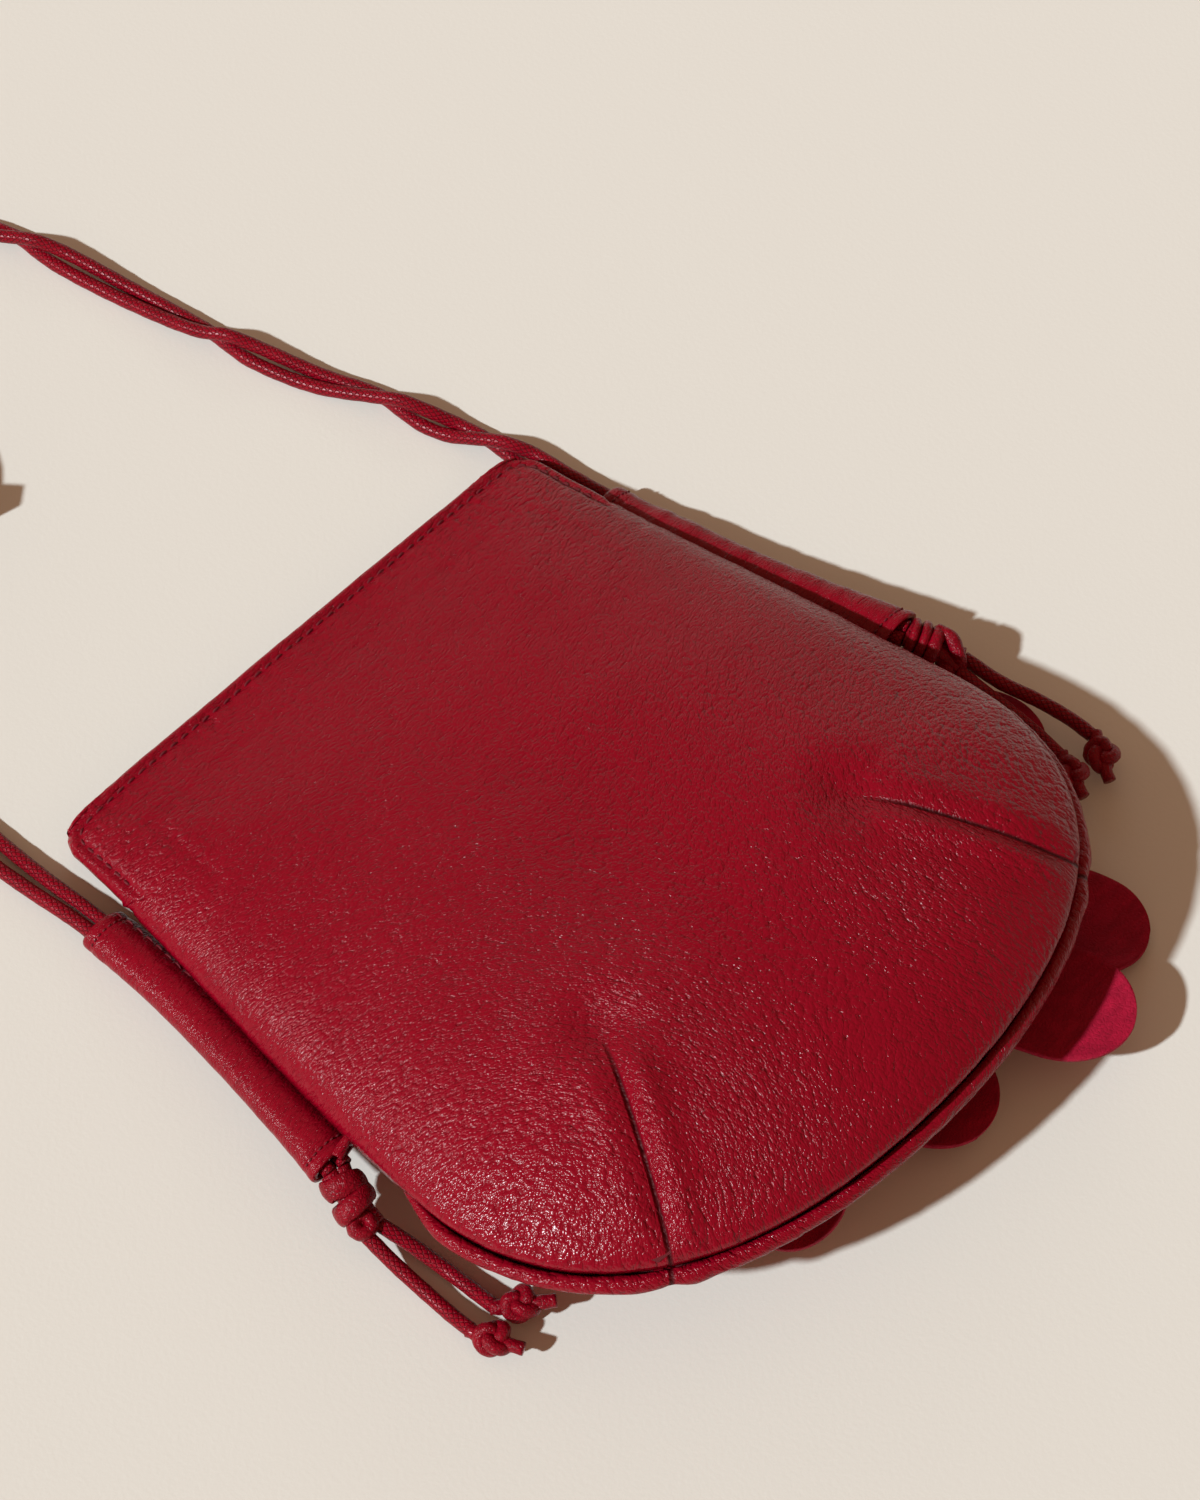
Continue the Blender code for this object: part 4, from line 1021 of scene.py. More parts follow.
def woven_lining(name):
    """Thin woven cloth: warp and weft threads that cross."""
    finish = Finish(name)
    colour = tuple(colours().lining)
    place = finish.place()
    warp = finish.waves(place, 0.00042, 0.4)
    weft = finish.waves(finish.mapped(place, turn=(0, 0, pi / 2)), 0.00042, 0.4)
    weave = warp * weft
    # Painted shade and highlight: darker where the threads dip, paler where they cross on top.
    base = finish.mix(weave, shaded(colour, 0.55), shaded(colour, 1.15))
    return finish.shade(Base_Color=base, Roughness=0.90 - 0.10 * weave,
                        Normal=finish.bump(weave, 0.00010))


def brushed_snap(name):
    """Turned metal of the snap: fine rings and small marks."""
    finish = Finish(name)
    place = finish.place()
    marks = finish.noise(place, 0.0006, 3.0)
    rings = finish.waves(finish.mapped(place, (1, 1, 3)), 0.00030, 2.0)
    base = finish.mix(marks, (0.55, 0.53, 0.49), (0.68, 0.66, 0.62))
    return finish.shade(Base_Color=base, Metallic=1.0, Roughness=0.24 + 0.16 * marks,
                        Normal=finish.bump(rings, 0.00002))


def dull_floor(name):
    """A plain paper-like floor with a faint tooth."""
    finish = Finish(name)
    colour = tuple(colours().floor)
    tooth = finish.noise(finish.place(), 0.0012, 3.0)
    base = finish.mix(tooth, shaded(colour, 0.992), colour)
    return finish.shade(Base_Color=base, Roughness=0.92, Specular_IOR_Level=0.15,
                        Normal=finish.bump(tooth, 0.00004))


def finish_of(name):
    """The finish of that name, made once and shared."""
    makers = {
        "body_leather": lambda: grained_leather("body_leather", panel=True),
        "sleeve_leather": lambda: grained_leather("sleeve_leather"),
        "facing_leather": lambda: grained_leather("facing_leather"),
        "petal_suede": lambda: napped_leather("petal_suede"),
        "cord_braid": lambda: braided_leather("cord_braid"),
        "knot_leather": lambda: plain_leather("knot_leather"),
        "tie_band_leather": lambda: plain_leather("tie_band_leather", 0.85),
        "seam_thread": lambda: twisted_thread("seam_thread"),
        "lining_weave": lambda: woven_lining("lining_weave"),
        "snap_steel": lambda: brushed_snap("snap_steel"),
        "floor_paper": lambda: dull_floor("floor_paper"),
    }
    return bpy.data.materials.get(name) or makers[name]()


# Stage

def add_camera():
    camera = bpy.data.cameras.new("camera")
    camera.lens = CAMERA_LENS_MM
    camera.sensor_width = CAMERA_FILM_MM
    camera.clip_start = 0.01
    holder = bpy.data.objects.new("camera", camera)
    bpy.context.collection.objects.link(holder)
    holder.location = CAMERA_PLACE
    aim = Vector(CAMERA_AIM) - Vector(CAMERA_PLACE)
    holder.rotation_euler = aim.to_track_quat("-Z", "Y").to_euler()
    bpy.context.scene.camera = holder


def add_floor():
    """A wide level floor: a net of flat points."""
    lines = np.linspace(-FLOOR_HALF_WIDTH, FLOOR_HALF_WIDTH, FLOOR_LINES)
    x, y = np.meshgrid(lines, lines)
    points = np.stack((x, y, np.zeros_like(x)), axis=-1)
    mesh = bpy.data.meshes.new("floor")
    mesh.from_pydata(points.reshape(-1, 3), [], net_faces(FLOOR_LINES, FLOOR_LINES).tolist())
    floor = bpy.data.objects.new("floor", mesh)
    bpy.context.collection.objects.link(floor)
    mesh.materials.append(finish_of("floor_paper"))


def add_lamps():
    """A low cool key from the left, a soft panel low beyond the bag and a dim warm sky."""
    key = bpy.data.lights.new("key", "SUN")
    key.energy = KEY_STRENGTH
    key.angle = KEY_SPREAD
    key.color = (0.97, 1.02, 1.06)
    holder = bpy.data.objects.new("key", key)
    bpy.context.collection.objects.link(holder)
    holder.rotation_euler = Vector(KEY_DIRECTION).to_track_quat("-Z", "Y").to_euler()
    soft = bpy.data.lights.new("soft_panel", "AREA")
    soft.shape = "RECTANGLE"
    soft.size, soft.size_y = 1.2, 0.6
    soft.energy = PANEL_WATTS
    holder = bpy.data.objects.new("soft_panel", soft)
    bpy.context.collection.objects.link(holder)
    holder.location = PANEL_PLACE
    aim = Vector(PANEL_AIM) - holder.location
    holder.rotation_euler = aim.to_track_quat("-Z", "Y").to_euler()
    world = bpy.data.worlds.new("sky")
    bpy.context.scene.world = world
    world.use_nodes = True
    sky = world.node_tree.nodes["Background"]
    sky.inputs["Color"].default_value = (1.0, 0.56, 0.34, 1.0)
    sky.inputs["Strength"].default_value = SKY_STRENGTH


class BAG_OT_stage(bpy.types.Operator):
    """Camera, floor and lamps"""
    bl_idname = "bag.stage"
    bl_label = "Stage"

    def execute(self, context):
        add_camera()
        add_floor()
        add_lamps()
        context.scene.view_settings.view_transform = "Standard"
        return {"FINISHED"}


# Cords

def coil_path(heights):
    """A cord's turns: in at the top of the ring, inwards turn by turn on one layer, up and
    outwards on the next, out at the left. The radius steps at the end of each turn."""
    lower = np.linspace(0.0, 4.0, 4 * COIL_STEPS_PER_TURN, endpoint=False)
    upper = np.linspace(0.0, 3.25, int(3.25 * COIL_STEPS_PER_TURN) + 1)
    radii = np.array(COIL_RADII)
    turn = np.floor(lower).astype(int)
    inwards = radii[turn] + (radii[np.minimum(turn + 1, 3)] - radii[turn]) * smooth(
        (lower - turn - 0.80) / 0.20)
    inwards += (COIL_ENTRY_RADIUS - radii[0]) * (1.0 - smooth(lower / 0.22))
    climb = smooth((lower - 3.82) / 0.18)
    turn = np.floor(upper).astype(int)
    back = radii[::-1]
    outwards = back[turn] + (back[np.minimum(turn + 1, 3)] - back[turn]) * smooth(
        (upper - turn - 0.62) / 0.20)
    outwards += (COIL_ENTRY_RADIUS - radii[0]) * smooth((upper - 3.04) / 0.21)
    radius = np.concatenate((inwards, outwards))
    height = np.concatenate((heights[0] + (heights[1] - heights[0]) * climb,
                             np.full(len(upper), heights[1])))
    angle = pi / 2 + 2 * pi * np.concatenate((lower, 4.0 + upper))
    return np.stack((COIL_CENTRE[0] + radius * np.cos(angle),
                     COIL_CENTRE[1] + radius * np.sin(angle), height), axis=1)


def strap_path(right_route, heights, left_route):
    """From the knot below the right sleeve through the sleeve, along the floor, round the coil and
    back through the left sleeve to its knot."""
    coil = coil_path(heights)
    first = smooth_route(right_route, ROUTE_STEP)
    last = smooth_route(left_route, ROUTE_STEP)
    whole = np.vstack((first[:-1], coil[1:-1], last))
    count = round(polyline_length(whole) / CORD_STEP)
    path = along(whole, np.linspace(0.0, 1.0, count))
    kernel = np.hanning(7)
    kernel /= kernel.sum()
    padded = np.pad(path, ((3, 3), (0, 0)), mode="edge")
    eased = np.stack([np.convolve(padded[:, axis], kernel, "valid") for axis in range(3)], axis=1)
    eased[:3], eased[-3:] = path[:3], path[-3:]
    return eased


class BAG_OT_strap(bpy.types.Operator):
    """Two braided cords from sleeve to sleeve, with their coil, and the four cord ends"""
    bl_idname = "bag.strap"
    bl_label = "Strap cords"

    def execute(self, context):
        radius = sizes().cord_diameter / 2
        for name, right, heights, left, nodes, exit_at in (
                ("strap_cord_lower", RIGHT_CORD_1, LOWER_CORD_HEIGHTS, LEFT_CORD_1,
                 ("right_strap_cord_1", "left_strap_cord_1", "strap_coil"), RIGHT_CORD_1[0]),
                ("strap_cord_upper", RIGHT_CORD_2, UPPER_CORD_HEIGHTS, LEFT_CORD_2,
                 ("right_strap_cord_2", "left_strap_cord_2"), RIGHT_CORD_2[0])):
            path = strap_path(right, heights, left)
            cord = add_plaited_cord(name, path, radius)
            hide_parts(*nodes)
        for name, route, knot in (
                ("left_tail_1", LEFT_TAIL_1, "left_end_knot_1"),
                ("left_tail_2", LEFT_TAIL_2, "left_end_knot_2"),
                ("right_tail_1", RIGHT_TAIL_1, "right_end_knot_1"),
                ("right_tail_2", RIGHT_TAIL_2, "right_end_knot_2")):
            path = smooth_route(route, CORD_STEP)
            tail = add_plaited_cord(name.replace("tail", "cord_end"), path, radius)
            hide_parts(name)
        return {"FINISHED"}


# Leather halves

def dart_values(flat):
    """Signed distance from the nearer dart's line and how clear its seam is, none past its tip."""
    found = {}
    right = flat[..., 0] > 0
    for hand in (-1.0, 1.0):
        across, share, over = dart_measures(flat, hand)
        clear = smooth(share / 0.35 + 0.10) * np.exp(-np.abs(over) / 0.0012)
        for name, values in (("dart", across), ("seam", clear)):
            here = right if hand > 0 else ~right
            found[name] = np.where(here, values, found.get(name, 0.0))
    return found


# The wall thins out to a part of its thickness near the mouth's corners
THIN_WALL_FROM = 0.0085
THIN_WALL_RUN = 0.0040
THIN_WALL_PART = 0.3


def net_border(rows, columns):
    """Corner numbers along a net's border, once round, without its four corners."""
    across, up = np.arange(1, columns - 1), np.arange(1, rows - 1) * columns
    return np.concatenate((across, up + columns - 1,
                           across[::-1] + (rows - 1) * columns, up[::-1]))


def add_leather_half(name, side, node, rows, columns):
    """One half of the pouch: the outer face over a net, with its folds, and the inner face one
    thickness further in, joined round the border."""
    u, v = np.meshgrid(graded(columns, ((0.13, 0.13, 0.9), (0.87, 0.13, 0.9))),
                       graded(rows, ((0.15, 0.16, 0.9),)))
    flat = patch(u, v)
    points, normal, edge = panel_face(flat, side)
    faces = net_faces(rows, columns)
    last = len(faces) - 1
    blunt = [(0, 0), (columns - 2, 1), (last, 2), (last - columns + 2, 3)]
    corners = [tuple(np.delete(faces[face], corner)[::side].tolist()) for face, corner in blunt]
    faces = np.delete(faces, [face for face, corner in blunt], axis=0)[:, ::side]
    kept = np.delete(np.arange(rows * columns),
                     (0, columns - 1, (rows - 1) * columns, rows * columns - 1))
    border = net_border(rows, columns)
    ahead = np.roll(border, -1)
    under = rows * columns
    rim_faces = np.stack((ahead, border, border + under, ahead + under), axis=-1)[:, ::side]
    faces = np.vstack((faces, faces[:, ::-1] + under, rim_faces))
    corners += [tuple(number + under for number in corner[::-1]) for corner in corners]
    numbers = np.zeros(2 * under, dtype=int)
    kept = np.concatenate((kept, kept + under))
    numbers[kept] = np.arange(len(kept))
    mouth_corner = side_curves()[1][-1]
    far = np.hypot(np.abs(flat[..., 0]) - mouth_corner[0], flat[..., 1] - mouth_corner[1])
    thin = smooth((THIN_WALL_FROM - far) / THIN_WALL_RUN)[..., None]
    upright = THIN_WALL_PART * thin * np.array((0.0, 0.0, side))
    inwards = PANEL_THICKNESS * (normal * (1.0 - thin) + upright)
    walls = np.concatenate((points.reshape(-1, 3), (points - inwards).reshape(-1, 3)))[kept]
    walls[:, 2] = np.maximum(walls[:, 2], FLOOR_GAP)
    half = add_piece(name, walls, numbers[faces], finish_of("body_leather"),
                     [tuple(numbers[list(corner)].tolist()) for corner in corners])
    values = dart_values(flat)
    values.update(edge=edge[0], flow=2.3 * grain_flow(flat), grain=grain_strength(flat))
    for key, value in values.items():
        add_values(half, key, np.tile(value.ravel(), 2)[kept])
    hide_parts(node)


class BAG_OT_leather_halves(bpy.types.Operator):
    """The back and front halves of the pouch, with darts, rolled seams and crinkled hems"""
    bl_idname = "bag.leather_halves"
    bl_label = "Leather halves"

    def execute(self, context):
        add_leather_half("back_half", 1, "back_panel", BACK_ROWS, BACK_COLUMNS)
        add_leather_half("front_half", -1, "front_panel", FRONT_ROWS, FRONT_COLUMNS)
        return {"FINISHED"}


class BAG_OT_inside(bpy.types.Operator):
    """Finishes of the facings, lining, snap, coil tie and of the flower's pad and button"""
    bl_idname = "bag.inside"
    bl_label = "Inside and small parts"

    def execute(self, context):
        for surface, nodes in (
                ("facing_leather", ("back_facing", "front_facing")),
                ("lining_weave", ("lining_back", "lining_front")),
                ("snap_steel", ("snap_socket", "snap_stud")),
                ("tie_band_leather", ("coil_tie",)),
                ("petal_suede", ("flower_base", "flower_button"))):
            for node in nodes:
                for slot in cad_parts[node].material_slots:
                    slot.material = finish_of(surface)
        return {"FINISHED"}


# Stitches

def stitch_meshes(starts, ends, normals, radius):
    """One arched capsule for each stitch: a small ring carried from its start to its end, which
    dips into the leather at both ends."""
    t = np.linspace(-1.0, 1.0, STITCH_RINGS)[None, :, None, None]
    angle = (2 * pi * np.arange(STITCH_SIDES) / STITCH_SIDES)[None, None, :, None]
    middle, half = (starts + ends) / 2, (ends - starts) / 2
    sideways = np.cross(unit(half), normals)
    width = radius * np.sqrt(np.clip(1.0 - 0.86 * t ** 4, 0.0, 1.0))
    lift = radius * (0.9 - 1.5 * t ** 2)
    points = (middle[:, None, None] + half[:, None, None] * t + normals[:, None, None] * lift
              + width * (np.cos(angle) * sideways[:, None, None]
                         + np.sin(angle) * normals[:, None, None]))
    ring = net_faces(STITCH_RINGS, STITCH_SIDES, close_columns=True)
    each = STITCH_RINGS * STITCH_SIDES
    firsts = each * np.arange(len(starts))
    quads = (ring[None] + firsts[:, None, None]).reshape(-1, 4)
    caps = []
    for first in firsts:
        caps.append(tuple(range(first + STITCH_SIDES - 1, first - 1, -1)))
        caps.append(tuple(range(first + each - STITCH_SIDES, first + each)))
    return points.reshape(-1, 3), quads, caps


def add_stitches(name, starts, ends, normals, radius):
    """A row of stitches as one piece, kept above the floor."""
    points, quads, caps = stitch_meshes(starts, ends, normals, radius)
    points[:, 2] = np.maximum(points[:, 2], FLOOR_GAP)
    add_piece(name, points, quads, finish_of("seam_thread"), caps)


def hem_stitches(name, side):
    """Stitches along the free edge, an inset from it, at even pitch."""
    edge = free_edge()
    edge = along(edge, np.linspace(0.0, 1.0, 1200))
    tangent = unit(np.gradient(edge, axis=0))
    inward = np.stack((tangent[:, 1], -tangent[:, 0]), axis=1)
    inward *= np.sign(np.sum(inward * (np.array((0.0, 0.067)) - edge), axis=1))[:, None]
    line = edge + sizes().stitch_inset * inward
    pitch = sizes().stitch_pitch
    count = int(polyline_length(line) / pitch)
    share = (np.arange(count) + 0.5) / count
    gap = 0.13 / count
    starts, normals = panel_face(along(line, share - 0.5 / count + gap), side)[:2]
    ends = panel_face(along(line, share + 0.5 / count - gap), side)[0]
    add_stitches(name, starts, ends, normals, HEM_THREAD_RADIUS)


class BAG_OT_stitches(bpy.types.Operator):
    """Rows of stitches along the hem of both halves"""
    bl_idname = "bag.stitches"
    bl_label = "Hem stitches"

    def execute(self, context):
        hem_stitches("back_hem_stitches", 1)
        hem_stitches("front_hem_stitches", -1)
        return {"FINISHED"}


# Sleeves

def side_reach(s):
    """Half width of the bag at a distance from the mouth, along its side."""
    to_corner = side_curves()[1]
    order = np.argsort(to_corner[:, 1])
    return np.interp(s, to_corner[order, 1], to_corner[order, 0])


def sleeve_line(direction, from_mouth, length, outs, share):
    """Middle line of a sleeve, beside the bag and just below its seam."""
    s = from_mouth + length * share
    out = outs[0] * (1 - share) + outs[2] * share
    out = out + 4 * share * (1 - share) * (outs[1] - (outs[0] + outs[2]) / 2)
    x = BAG_MIDDLE_X + direction * (side_reach(s) + out)
    return x, MOUTH_Y - s, seam_height(s) - SLEEVE_HALF_HEIGHT - 0.0003


# Heights of a sleeve's wrinkles, from fine to broad, of the row of stitches near each end and of
# the edge that curls in; the stitches' distance from the end
SLEEVE_WRINKLES = (0.00017, 0.00020, 0.00028)
SLEEVE_GROOVE, SLEEVE_GROOVE_WIDTH = 0.00030, 0.0007
SLEEVE_CURL, SLEEVE_CURL_RUN = 0.00045, 0.0005
SLEEVE_STITCH_INSET = 0.0031


def sleeve_face(direction, place, share, angle, wall, seed):
    """Tube round a sleeve's line: drawn in to a lip on the bag's side, wrinkled across on top,
    pressed in by a row of stitches at each end."""
    from_mouth, length, outs = place
    x, y, z = sleeve_line(direction, from_mouth, length, outs, share)
    towards_bag = -direction * np.cos(angle)
    lip = np.clip(towards_bag, 0.0, 1.0) ** 3
    top = smooth(0.5 + 0.9 * np.sin(angle))
    way = share * length
    near_end = np.minimum(way, length - way)
    fine, middling, broad = SLEEVE_WRINKLES
    folds = (fine * patchwork(way + 0.0006 * np.sin(angle), angle * 0.0009, 0.0019, seed)
             + middling * patchwork(way, angle * 0.0012, 0.0044, seed + 1)
             + broad * patchwork(way, angle * 0.004, 0.018, seed + 2))
    folds = folds * top * (0.35 + 0.65 * smooth(near_end / 0.006))
    pressed = -SLEEVE_GROOVE * hump(near_end, 0.0030, SLEEVE_GROOVE_WIDTH) * top
    curled = -SLEEVE_CURL * np.exp(-near_end / SLEEVE_CURL_RUN)
    size = folds + pressed + curled - wall
    flare = 1.0 + 0.16 * np.exp(-(length - way) / 0.007)
    across = (SLEEVE_HALF_WIDTH * flare + size) * np.cos(angle) * (1.0 + 0.20 * lip)
    upward = (SLEEVE_HALF_HEIGHT + size * np.where(np.sin(angle) > 0, 1.0, 0.0)) * np.sin(angle)
    upward = np.where(wall > 0, (SLEEVE_HALF_HEIGHT - wall) * np.sin(angle), upward)
    upward = upward * (1.0 - 0.30 * lip)
    return np.stack((x + across, y + 0.0 * angle, z + upward), axis=-1)


def add_sleeve(name, node, direction, place, seed):
    """A leather tube with an inner wall: the outer net runs down, the inner net back up. Stitches
    cross it near both ends and run along it beside the bag."""
    share = np.linspace(0.0, 1.0, 170)
    share = 0.8 * share + 0.2 * 0.5 * (1.0 - np.cos(pi * share))
    angles = 2 * pi * np.arange(44) / 44
    down, around = np.meshgrid(share, angles, indexing="ij")
    outer = sleeve_face(direction, place, down, around, 0.0, seed)
    inner = sleeve_face(direction, place, down[::-4], around[::-4], SLEEVE_WALL, seed)
    net = np.vstack((outer, inner))
    piece = add_piece(name, net, outward(net, net_faces(*net.shape[:2], True, True)),
                      finish_of("sleeve_leather"))
    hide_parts(node)
    rows = []
    inset = SLEEVE_STITCH_INSET / place[1]
    for station in (inset, 1.0 - inset):
        spots = np.linspace(0.12 * pi, 0.88 * pi, 9)
        rows.append((station, spots[:-1] + 0.035, spots[1:] - 0.035))
    starts = np.vstack([sleeve_face(direction, place, np.full(8, station), low, 0.0, seed)
                        for station, low, high in rows])
    ends = np.vstack([sleeve_face(direction, place, np.full(8, station), high, 0.0, seed)
                      for station, low, high in rows])
    lows = np.concatenate([(low + high) / 2 for station, low, high in rows])
    normals = np.stack((np.cos(lows) * SLEEVE_HALF_HEIGHT, 0.0 * lows,
                        np.sin(lows) * SLEEVE_HALF_WIDTH), axis=1)
    add_stitches(name + "_stitches", starts, ends, unit(normals), SLEEVE_THREAD_RADIUS)
    count = round(place[1] / sizes().stitch_pitch)
    middles = (np.arange(count) + 0.5) / count
    angle = np.full(count, 0.20 * pi if direction < 0 else 0.80 * pi)
    starts = sleeve_face(direction, place, middles - 0.36 / count, angle, 0.0, seed)
    ends = sleeve_face(direction, place, middles + 0.36 / count, angle, 0.0, seed)
    normals = np.tile((-0.55 * direction, 0.0, 0.835), (count, 1))
    add_stitches(name + "_seam", starts, ends, normals, SLEEVE_THREAD_RADIUS)


def add_flap(name, direction, place):
    """A small folded corner of leather at a sleeve's lower end, pointed towards the bag."""
    t, w = np.meshgrid(np.linspace(0.0, 1.0, 14), np.linspace(-1.0, 1.0, 7), indexing="ij")
    base = np.array(sleeve_line(direction, *place, 1.0))
    start = base + np.array((-0.0006 * direction, -0.0006, 0.0026))
    tip = base + np.array((-0.0068 * direction, 0.0006, 0.0050))
    half = 0.0012 * (1.0 - t) ** 0.6 + 0.0001
    points = start + (tip - start) * t[..., None]
    points = points + (half * w)[..., None] * np.array((0.3, -0.9, -0.3))
    points = points + (0.0006 * (1.0 - w ** 2))[..., None] * np.array((0.0, -0.3, 1.0))
    flap = add_piece(name, points, net_faces(14, 7), finish_of("sleeve_leather"))
    thicken(flap, 0.0008)


def outward(net, faces):
    """Turns the faces of a closed mesh over if its signed volume shows that they point inwards."""
    points = net.reshape(-1, 3)
    a, b, c, d = (points[faces[:, corner]] for corner in range(4))
    volume = np.sum(a * np.cross(b, c)) + np.sum(a * np.cross(c, d))
    return faces if volume > 0 else faces[:, ::-1]


class BAG_OT_sleeves(bpy.types.Operator):
    """The two leather tubes that the strap runs through"""
    bl_idname = "bag.sleeves"
    bl_label = "Sleeves"

    def execute(self, context):
        right = (RIGHT_SLEEVE_FROM_MOUTH, RIGHT_SLEEVE_LENGTH, RIGHT_SLEEVE_OUT)
        left = (LEFT_SLEEVE_FROM_MOUTH, LEFT_SLEEVE_LENGTH, LEFT_SLEEVE_OUT)
        add_sleeve("right_sleeve_leather", "right_sleeve", 1, right, 41)
        add_sleeve("left_sleeve_leather", "left_sleeve", -1, left, 51)
        add_flap("left_sleeve_flap", -1, left)
        return {"FINISHED"}


# Knots

def knot_axes(ends):
    """Start, length and the directions along a knot, sideways and up."""
    start, end = np.array(ends[0]), np.array(ends[1])
    length = np.linalg.norm(end - start)
    lengthwise = (end - start) / length
    sideways = np.cross(lengthwise, (0.0, 0.0, 1.0))
    sideways /= np.linalg.norm(sideways)
    return start, length, lengthwise, sideways, np.cross(sideways, lengthwise)


def loop_net(ends, place, reach, lean, radius, squash, crosswise=False):
    """A closed band of cord: an ellipse round the knot's axis, or beside it where crosswise."""
    start, length, lengthwise, sideways, up = knot_axes(ends)
    angle = 2 * pi * np.arange(40)[:, None] / 40
    first, second = (lengthwise, sideways) if crosswise else (sideways, up)
    normal = up if crosswise else lengthwise
    centre = start + place[0] * length * lengthwise + place[1] * sideways + place[2] * up
    path = (centre + reach[0] * np.cos(angle) * (first + lean * normal)
            + reach[1] * np.sin(angle) * second)
    return tube_net(path, radius, CORD_SIDES, normal, closed=True, squash=squash)[0], True


def strand_net(ends, route, radius, squash=1.0):
    """A short stretch of cord inside a knot, between chosen places (along, sideways, up)."""
    start, length, lengthwise, sideways, up = knot_axes(ends)
    spots = [start + a * length * lengthwise + b * sideways + c * up for a, b, c in route]
    net = tube_net(smooth_route(spots, 0.0006), radius, CORD_SIDES, up, squash=squash)[0]
    return net, False


def overhand_net(ends, middle, size, radius):
    """A cord tied in three lobes: twice round a ring while it winds three times about it."""
    start, length, lengthwise, sideways, up = knot_axes(ends)
    turn = 2 * pi * np.arange(132)[:, None] / 132
    wide = 2.0 + np.cos(3 * turn)
    path = (start + middle * length * lengthwise
            + size * wide * np.cos(2 * turn + 0.5) * lengthwise
            + 0.92 * size * wide * np.sin(2 * turn + 0.5) * sideways
            + 1.45 * size * np.sin(3 * turn) * up)
    return tube_net(path, radius, 12, up, closed=True)[0], True


def add_knot(name, node, nets):
    """Joins closed nets of cord into one knot."""
    points, quads, caps, first = [], [], [], 0
    for net, closed in nets:
        rows, columns = net.shape[:2]
        centre = net.mean(axis=1, keepdims=True)
        crease = patchwork(net[..., 0] + 0.7 * net[..., 2], net[..., 1] - 0.5 * net[..., 2],
                           0.0013, 71) + 0.6 * patchwork(net[..., 1], net[..., 2], 0.0007, 72)
        net = centre + (net - centre) * (0.97 + 0.085 * crease)[..., None]
        plain = net_faces(rows, columns, True, closed)
        faces = outward(net, plain)
        flipped = not np.array_equal(faces, plain)
        if not closed:
            low = tuple(range(first + columns - 1, first - 1, -1))
            high = tuple(range(first + (rows - 1) * columns, first + rows * columns))
            caps += [low[::-1], high[::-1]] if flipped else [low, high]
        points.append(net.reshape(-1, 3))
        quads.append(faces + first)
        first += rows * columns
    piece = add_piece(name, np.vstack(points), np.vstack(quads), finish_of("knot_leather"),
                      caps)
    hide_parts(node)


def left_big_knot(ends):
    """Both cords side by side under two wide flat bands, and a fat lobe below them."""
    return (
        strand_net(ends, ((-0.06, 0.0014, 0), (0.5, 0.0010, 0.0003), (1.05, 0.0018, -0.0005)),
                   0.0021),
        strand_net(ends, ((-0.06, -0.0016, 0), (0.5, -0.0010, 0), (1.05, -0.0018, -0.0003)),
                   0.0021),
        loop_net(ends, (0.23, 0, 0), (0.0041, 0.0035), -0.16, 0.0010, 2.6),
        loop_net(ends, (0.58, 0.0002, 0), (0.0043, 0.0036), 0.20, 0.0011, 2.2),
        loop_net(ends, (0.94, 0.0012, 0.0006), (0.0018, 0.0019), 0.15, 0.0018, 1.2, True),
    )


def right_big_knot(ends):
    """Three tight turns below the sleeve and one fat turn that dives under the cords."""
    return (
        strand_net(ends, ((-0.06, 0.0012, 0), (0.5, 0.0008, 0.0004), (1.05, 0.0019, 0)), 0.0021),
        strand_net(ends, ((-0.06, -0.0014, 0), (0.5, -0.0008, 0), (1.05, -0.0018, 0)), 0.0021),
        loop_net(ends, (0.06, 0, 0), (0.0036, 0.0030), 0.10, 0.0012, 0.95),
        loop_net(ends, (0.25, 0, 0.0002), (0.0040, 0.0034), 0.10, 0.0013, 0.95),
        loop_net(ends, (0.47, 0.0002, 0.0002), (0.0042, 0.0035), 0.08, 0.0016, 1.05),
        strand_net(ends, ((0.42, -0.0034, 0.0020), (0.70, -0.0022, 0.0036), (0.95, 0.0002, 0.0022),
                          (1.10, 0.0016, -0.0004)), 0.0018, 1.15),
        loop_net(ends, (0.88, 0.0012, -0.0006), (0.0019, 0.0017), 0.15, 0.0017, 1.1, True),
    )


def end_knot(ends):
    """An overhand knot with a short cut end beyond it."""
    return (
        overhand_net(ends, 0.34, 0.00104, 0.00162),
        strand_net(ends, ((-0.14, 0, 0), (0.25, 0.0003, 0), (0.6, -0.0003, 0)), 0.00174),
        strand_net(ends, ((0.45, 0.0004, 0), (0.70, 0.0002, 0.0002), (0.90, 0, 0)), 0.00160),
    )


class BAG_OT_knots(bpy.types.Operator):
    """The big knots below the sleeves and the stopper knots at the cord ends"""
    bl_idname = "bag.knots"
    bl_label = "Knots"

    def execute(self, context):
        for node, ends in KNOT_ENDS.items():
            shape = {"left_knot": left_big_knot, "right_knot": right_big_knot}.get(node, end_knot)
            add_knot(node + "_tied", node, shape(ends))
        return {"FINISHED"}


# Flower

def petal_half_width(share, widest):
    """Narrow at the root, widest past the middle, round at the tip."""
    return PETAL_ROOT_HALF_WIDTH * (1 - share) + widest * share ** 0.6 * (1 - share ** 6) ** 0.5


# How far from the flower's middle a petal begins to be clear of the bag, over what length it
# comes clear, and how high its edges and its tip turn up there
PETAL_CLEAR_FROM = 0.058
PETAL_CLEAR_RUN = 0.022
PETAL_EDGE_LIFT = 0.0006
PETAL_TIP_LIFT = 0.0016


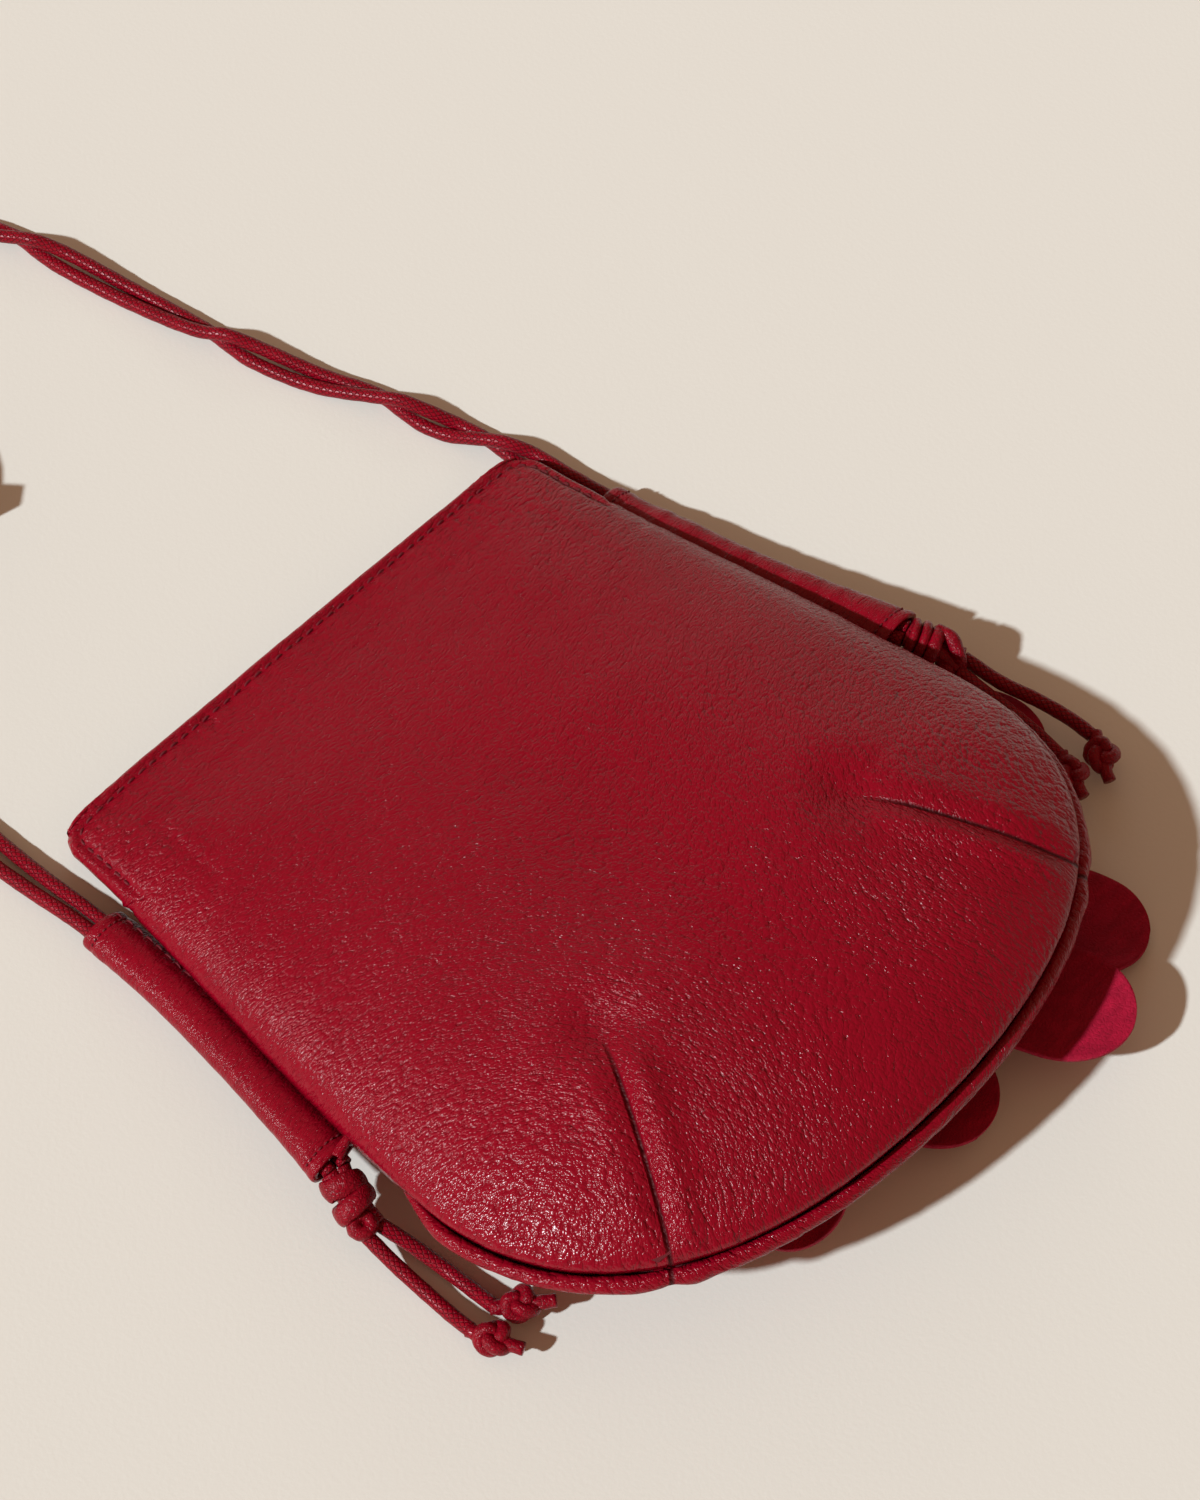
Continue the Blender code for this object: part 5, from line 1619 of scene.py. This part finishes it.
def petal_net(angle, wedge, length, tip_height, root_height, widest, seed):
    """A leaf over (share of its length, side from -1 to 1): it sinks from root to tip, its edges
    curl up a little and wave where they are clear of the bag."""
    q = np.linspace(0.0, 1.0, 56)
    share, side = np.meshgrid(1.0 - (1.0 - q) ** 1.7, np.linspace(-1.0, 1.0, 23), indexing="ij")
    share = np.clip(share, 0.0, 0.99995)
    reach = length - PETAL_ROOT_RADIUS
    radius = PETAL_ROOT_RADIUS + reach * share
    half = np.minimum(petal_half_width(share, widest), radius * tan(wedge / 2) - PETAL_SIDE_GAP)
    beside = half * side
    x = radius * cos(angle) - beside * sin(angle)
    y = radius * sin(angle) + beside * cos(angle)
    out = np.minimum(1.0, (np.hypot(x, y) - PETAL_ROOT_RADIUS) / reach)
    slope = -FLOWER_SLOPE * y * (1 - out) ** 2
    height = root_height + (tip_height - root_height) * out + slope
    clear = smooth((radius - PETAL_CLEAR_FROM) / PETAL_CLEAR_RUN)
    wave = 0.5 + 0.5 * np.sin(share * 15.0 + side * 1.3 + seed)
    curl = clear * side ** 2 * (1.0 - share ** 14)
    height = height + curl * (sizes().petal_wave * wave + PETAL_EDGE_LIFT)
    height = height + PETAL_TIP_LIFT * clear * smooth((share - 0.80) / 0.20)
    height = height + 0.0003 * patchwork(x, y, 0.006, 60 + seed) * clear + 0.0003 * clear
    return np.stack((x, y, height), axis=-1)


def add_petal(name, node, net):
    """One petal, with its thickness, in place of the plain one."""
    petal = add_piece(name, net, net_faces(*net.shape[:2]), finish_of("petal_suede"))
    thicken(petal, PETAL_THICKNESS)
    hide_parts(node)


class BAG_OT_flower(bpy.types.Operator):
    """Three layers of soft leather petals under the front half"""
    bl_idname = "bag.flower"
    bl_label = "Flower"

    def execute(self, context):
        step = 2 * pi / len(OUTER_PETALS)
        layers = (("outer_petal", OUTER_PETALS, 0.0, PETAL_WEDGE, PETAL_HALF_WIDTH),
                  ("middle_petal", MIDDLE_PETALS, step / 2, PETAL_WEDGE, PETAL_HALF_WIDTH),
                  ("inner_petal", INNER_PETALS, 0.0, INNER_PETAL_WEDGE, INNER_PETAL_HALF_WIDTH))
        for layer, (name, petals, start, wedge, widest) in enumerate(layers):
            root_height = OUTER_ROOT_HEIGHT - layer * LAYER_DROP
            for index, (length, tip_height, turn) in enumerate(petals):
                angle = FIRST_PETAL_ANGLE + start + 2 * pi * index / len(petals) + radians(turn)
                node = f"{name}_{index + 1}"
                net = petal_net(angle, wedge, length, tip_height, root_height, widest,
                                3 * layer + index)
                add_petal(node + "_leaf", node, net)
        return {"FINISHED"}


class BAG_PT_pieces(bpy.types.Panel):
    """Sizes, colours and pieces of the bag"""
    bl_idname = "BAG_PT_pieces"
    bl_label = "Crossbody Bag"
    bl_space_type = "VIEW_3D"
    bl_region_type = "UI"
    bl_category = "Bag"

    def draw(self, context):
        layout = self.layout
        for group in (context.scene.bag_sizes, context.scene.bag_colours):
            column = layout.column()
            for name in group.__annotations__:
                column.prop(group, name)
        for operator in OPERATORS:
            layout.operator(operator.bl_idname)


OPERATORS = (BAG_OT_stage, BAG_OT_strap, BAG_OT_leather_halves, BAG_OT_inside, BAG_OT_stitches,
             BAG_OT_sleeves, BAG_OT_knots, BAG_OT_flower)
CLASSES = (BagSizes, BagColours, *OPERATORS, BAG_PT_pieces)


def register():
    for kind in CLASSES:
        bpy.utils.register_class(kind)
    bpy.types.Scene.bag_sizes = bpy.props.PointerProperty(type=BagSizes)
    bpy.types.Scene.bag_colours = bpy.props.PointerProperty(type=BagColours)


def unregister():
    del bpy.types.Scene.bag_colours
    del bpy.types.Scene.bag_sizes
    for kind in reversed(CLASSES):
        bpy.utils.unregister_class(kind)


def main():
    register()
    bpy.ops.bag.stage()
    bpy.ops.bag.knots()
    bpy.ops.bag.strap()
    bpy.ops.bag.leather_halves()
    bpy.ops.bag.inside()
    bpy.ops.bag.stitches()
    bpy.ops.bag.sleeves()
    bpy.ops.bag.flower()


if __name__ == "__main__":
    main()
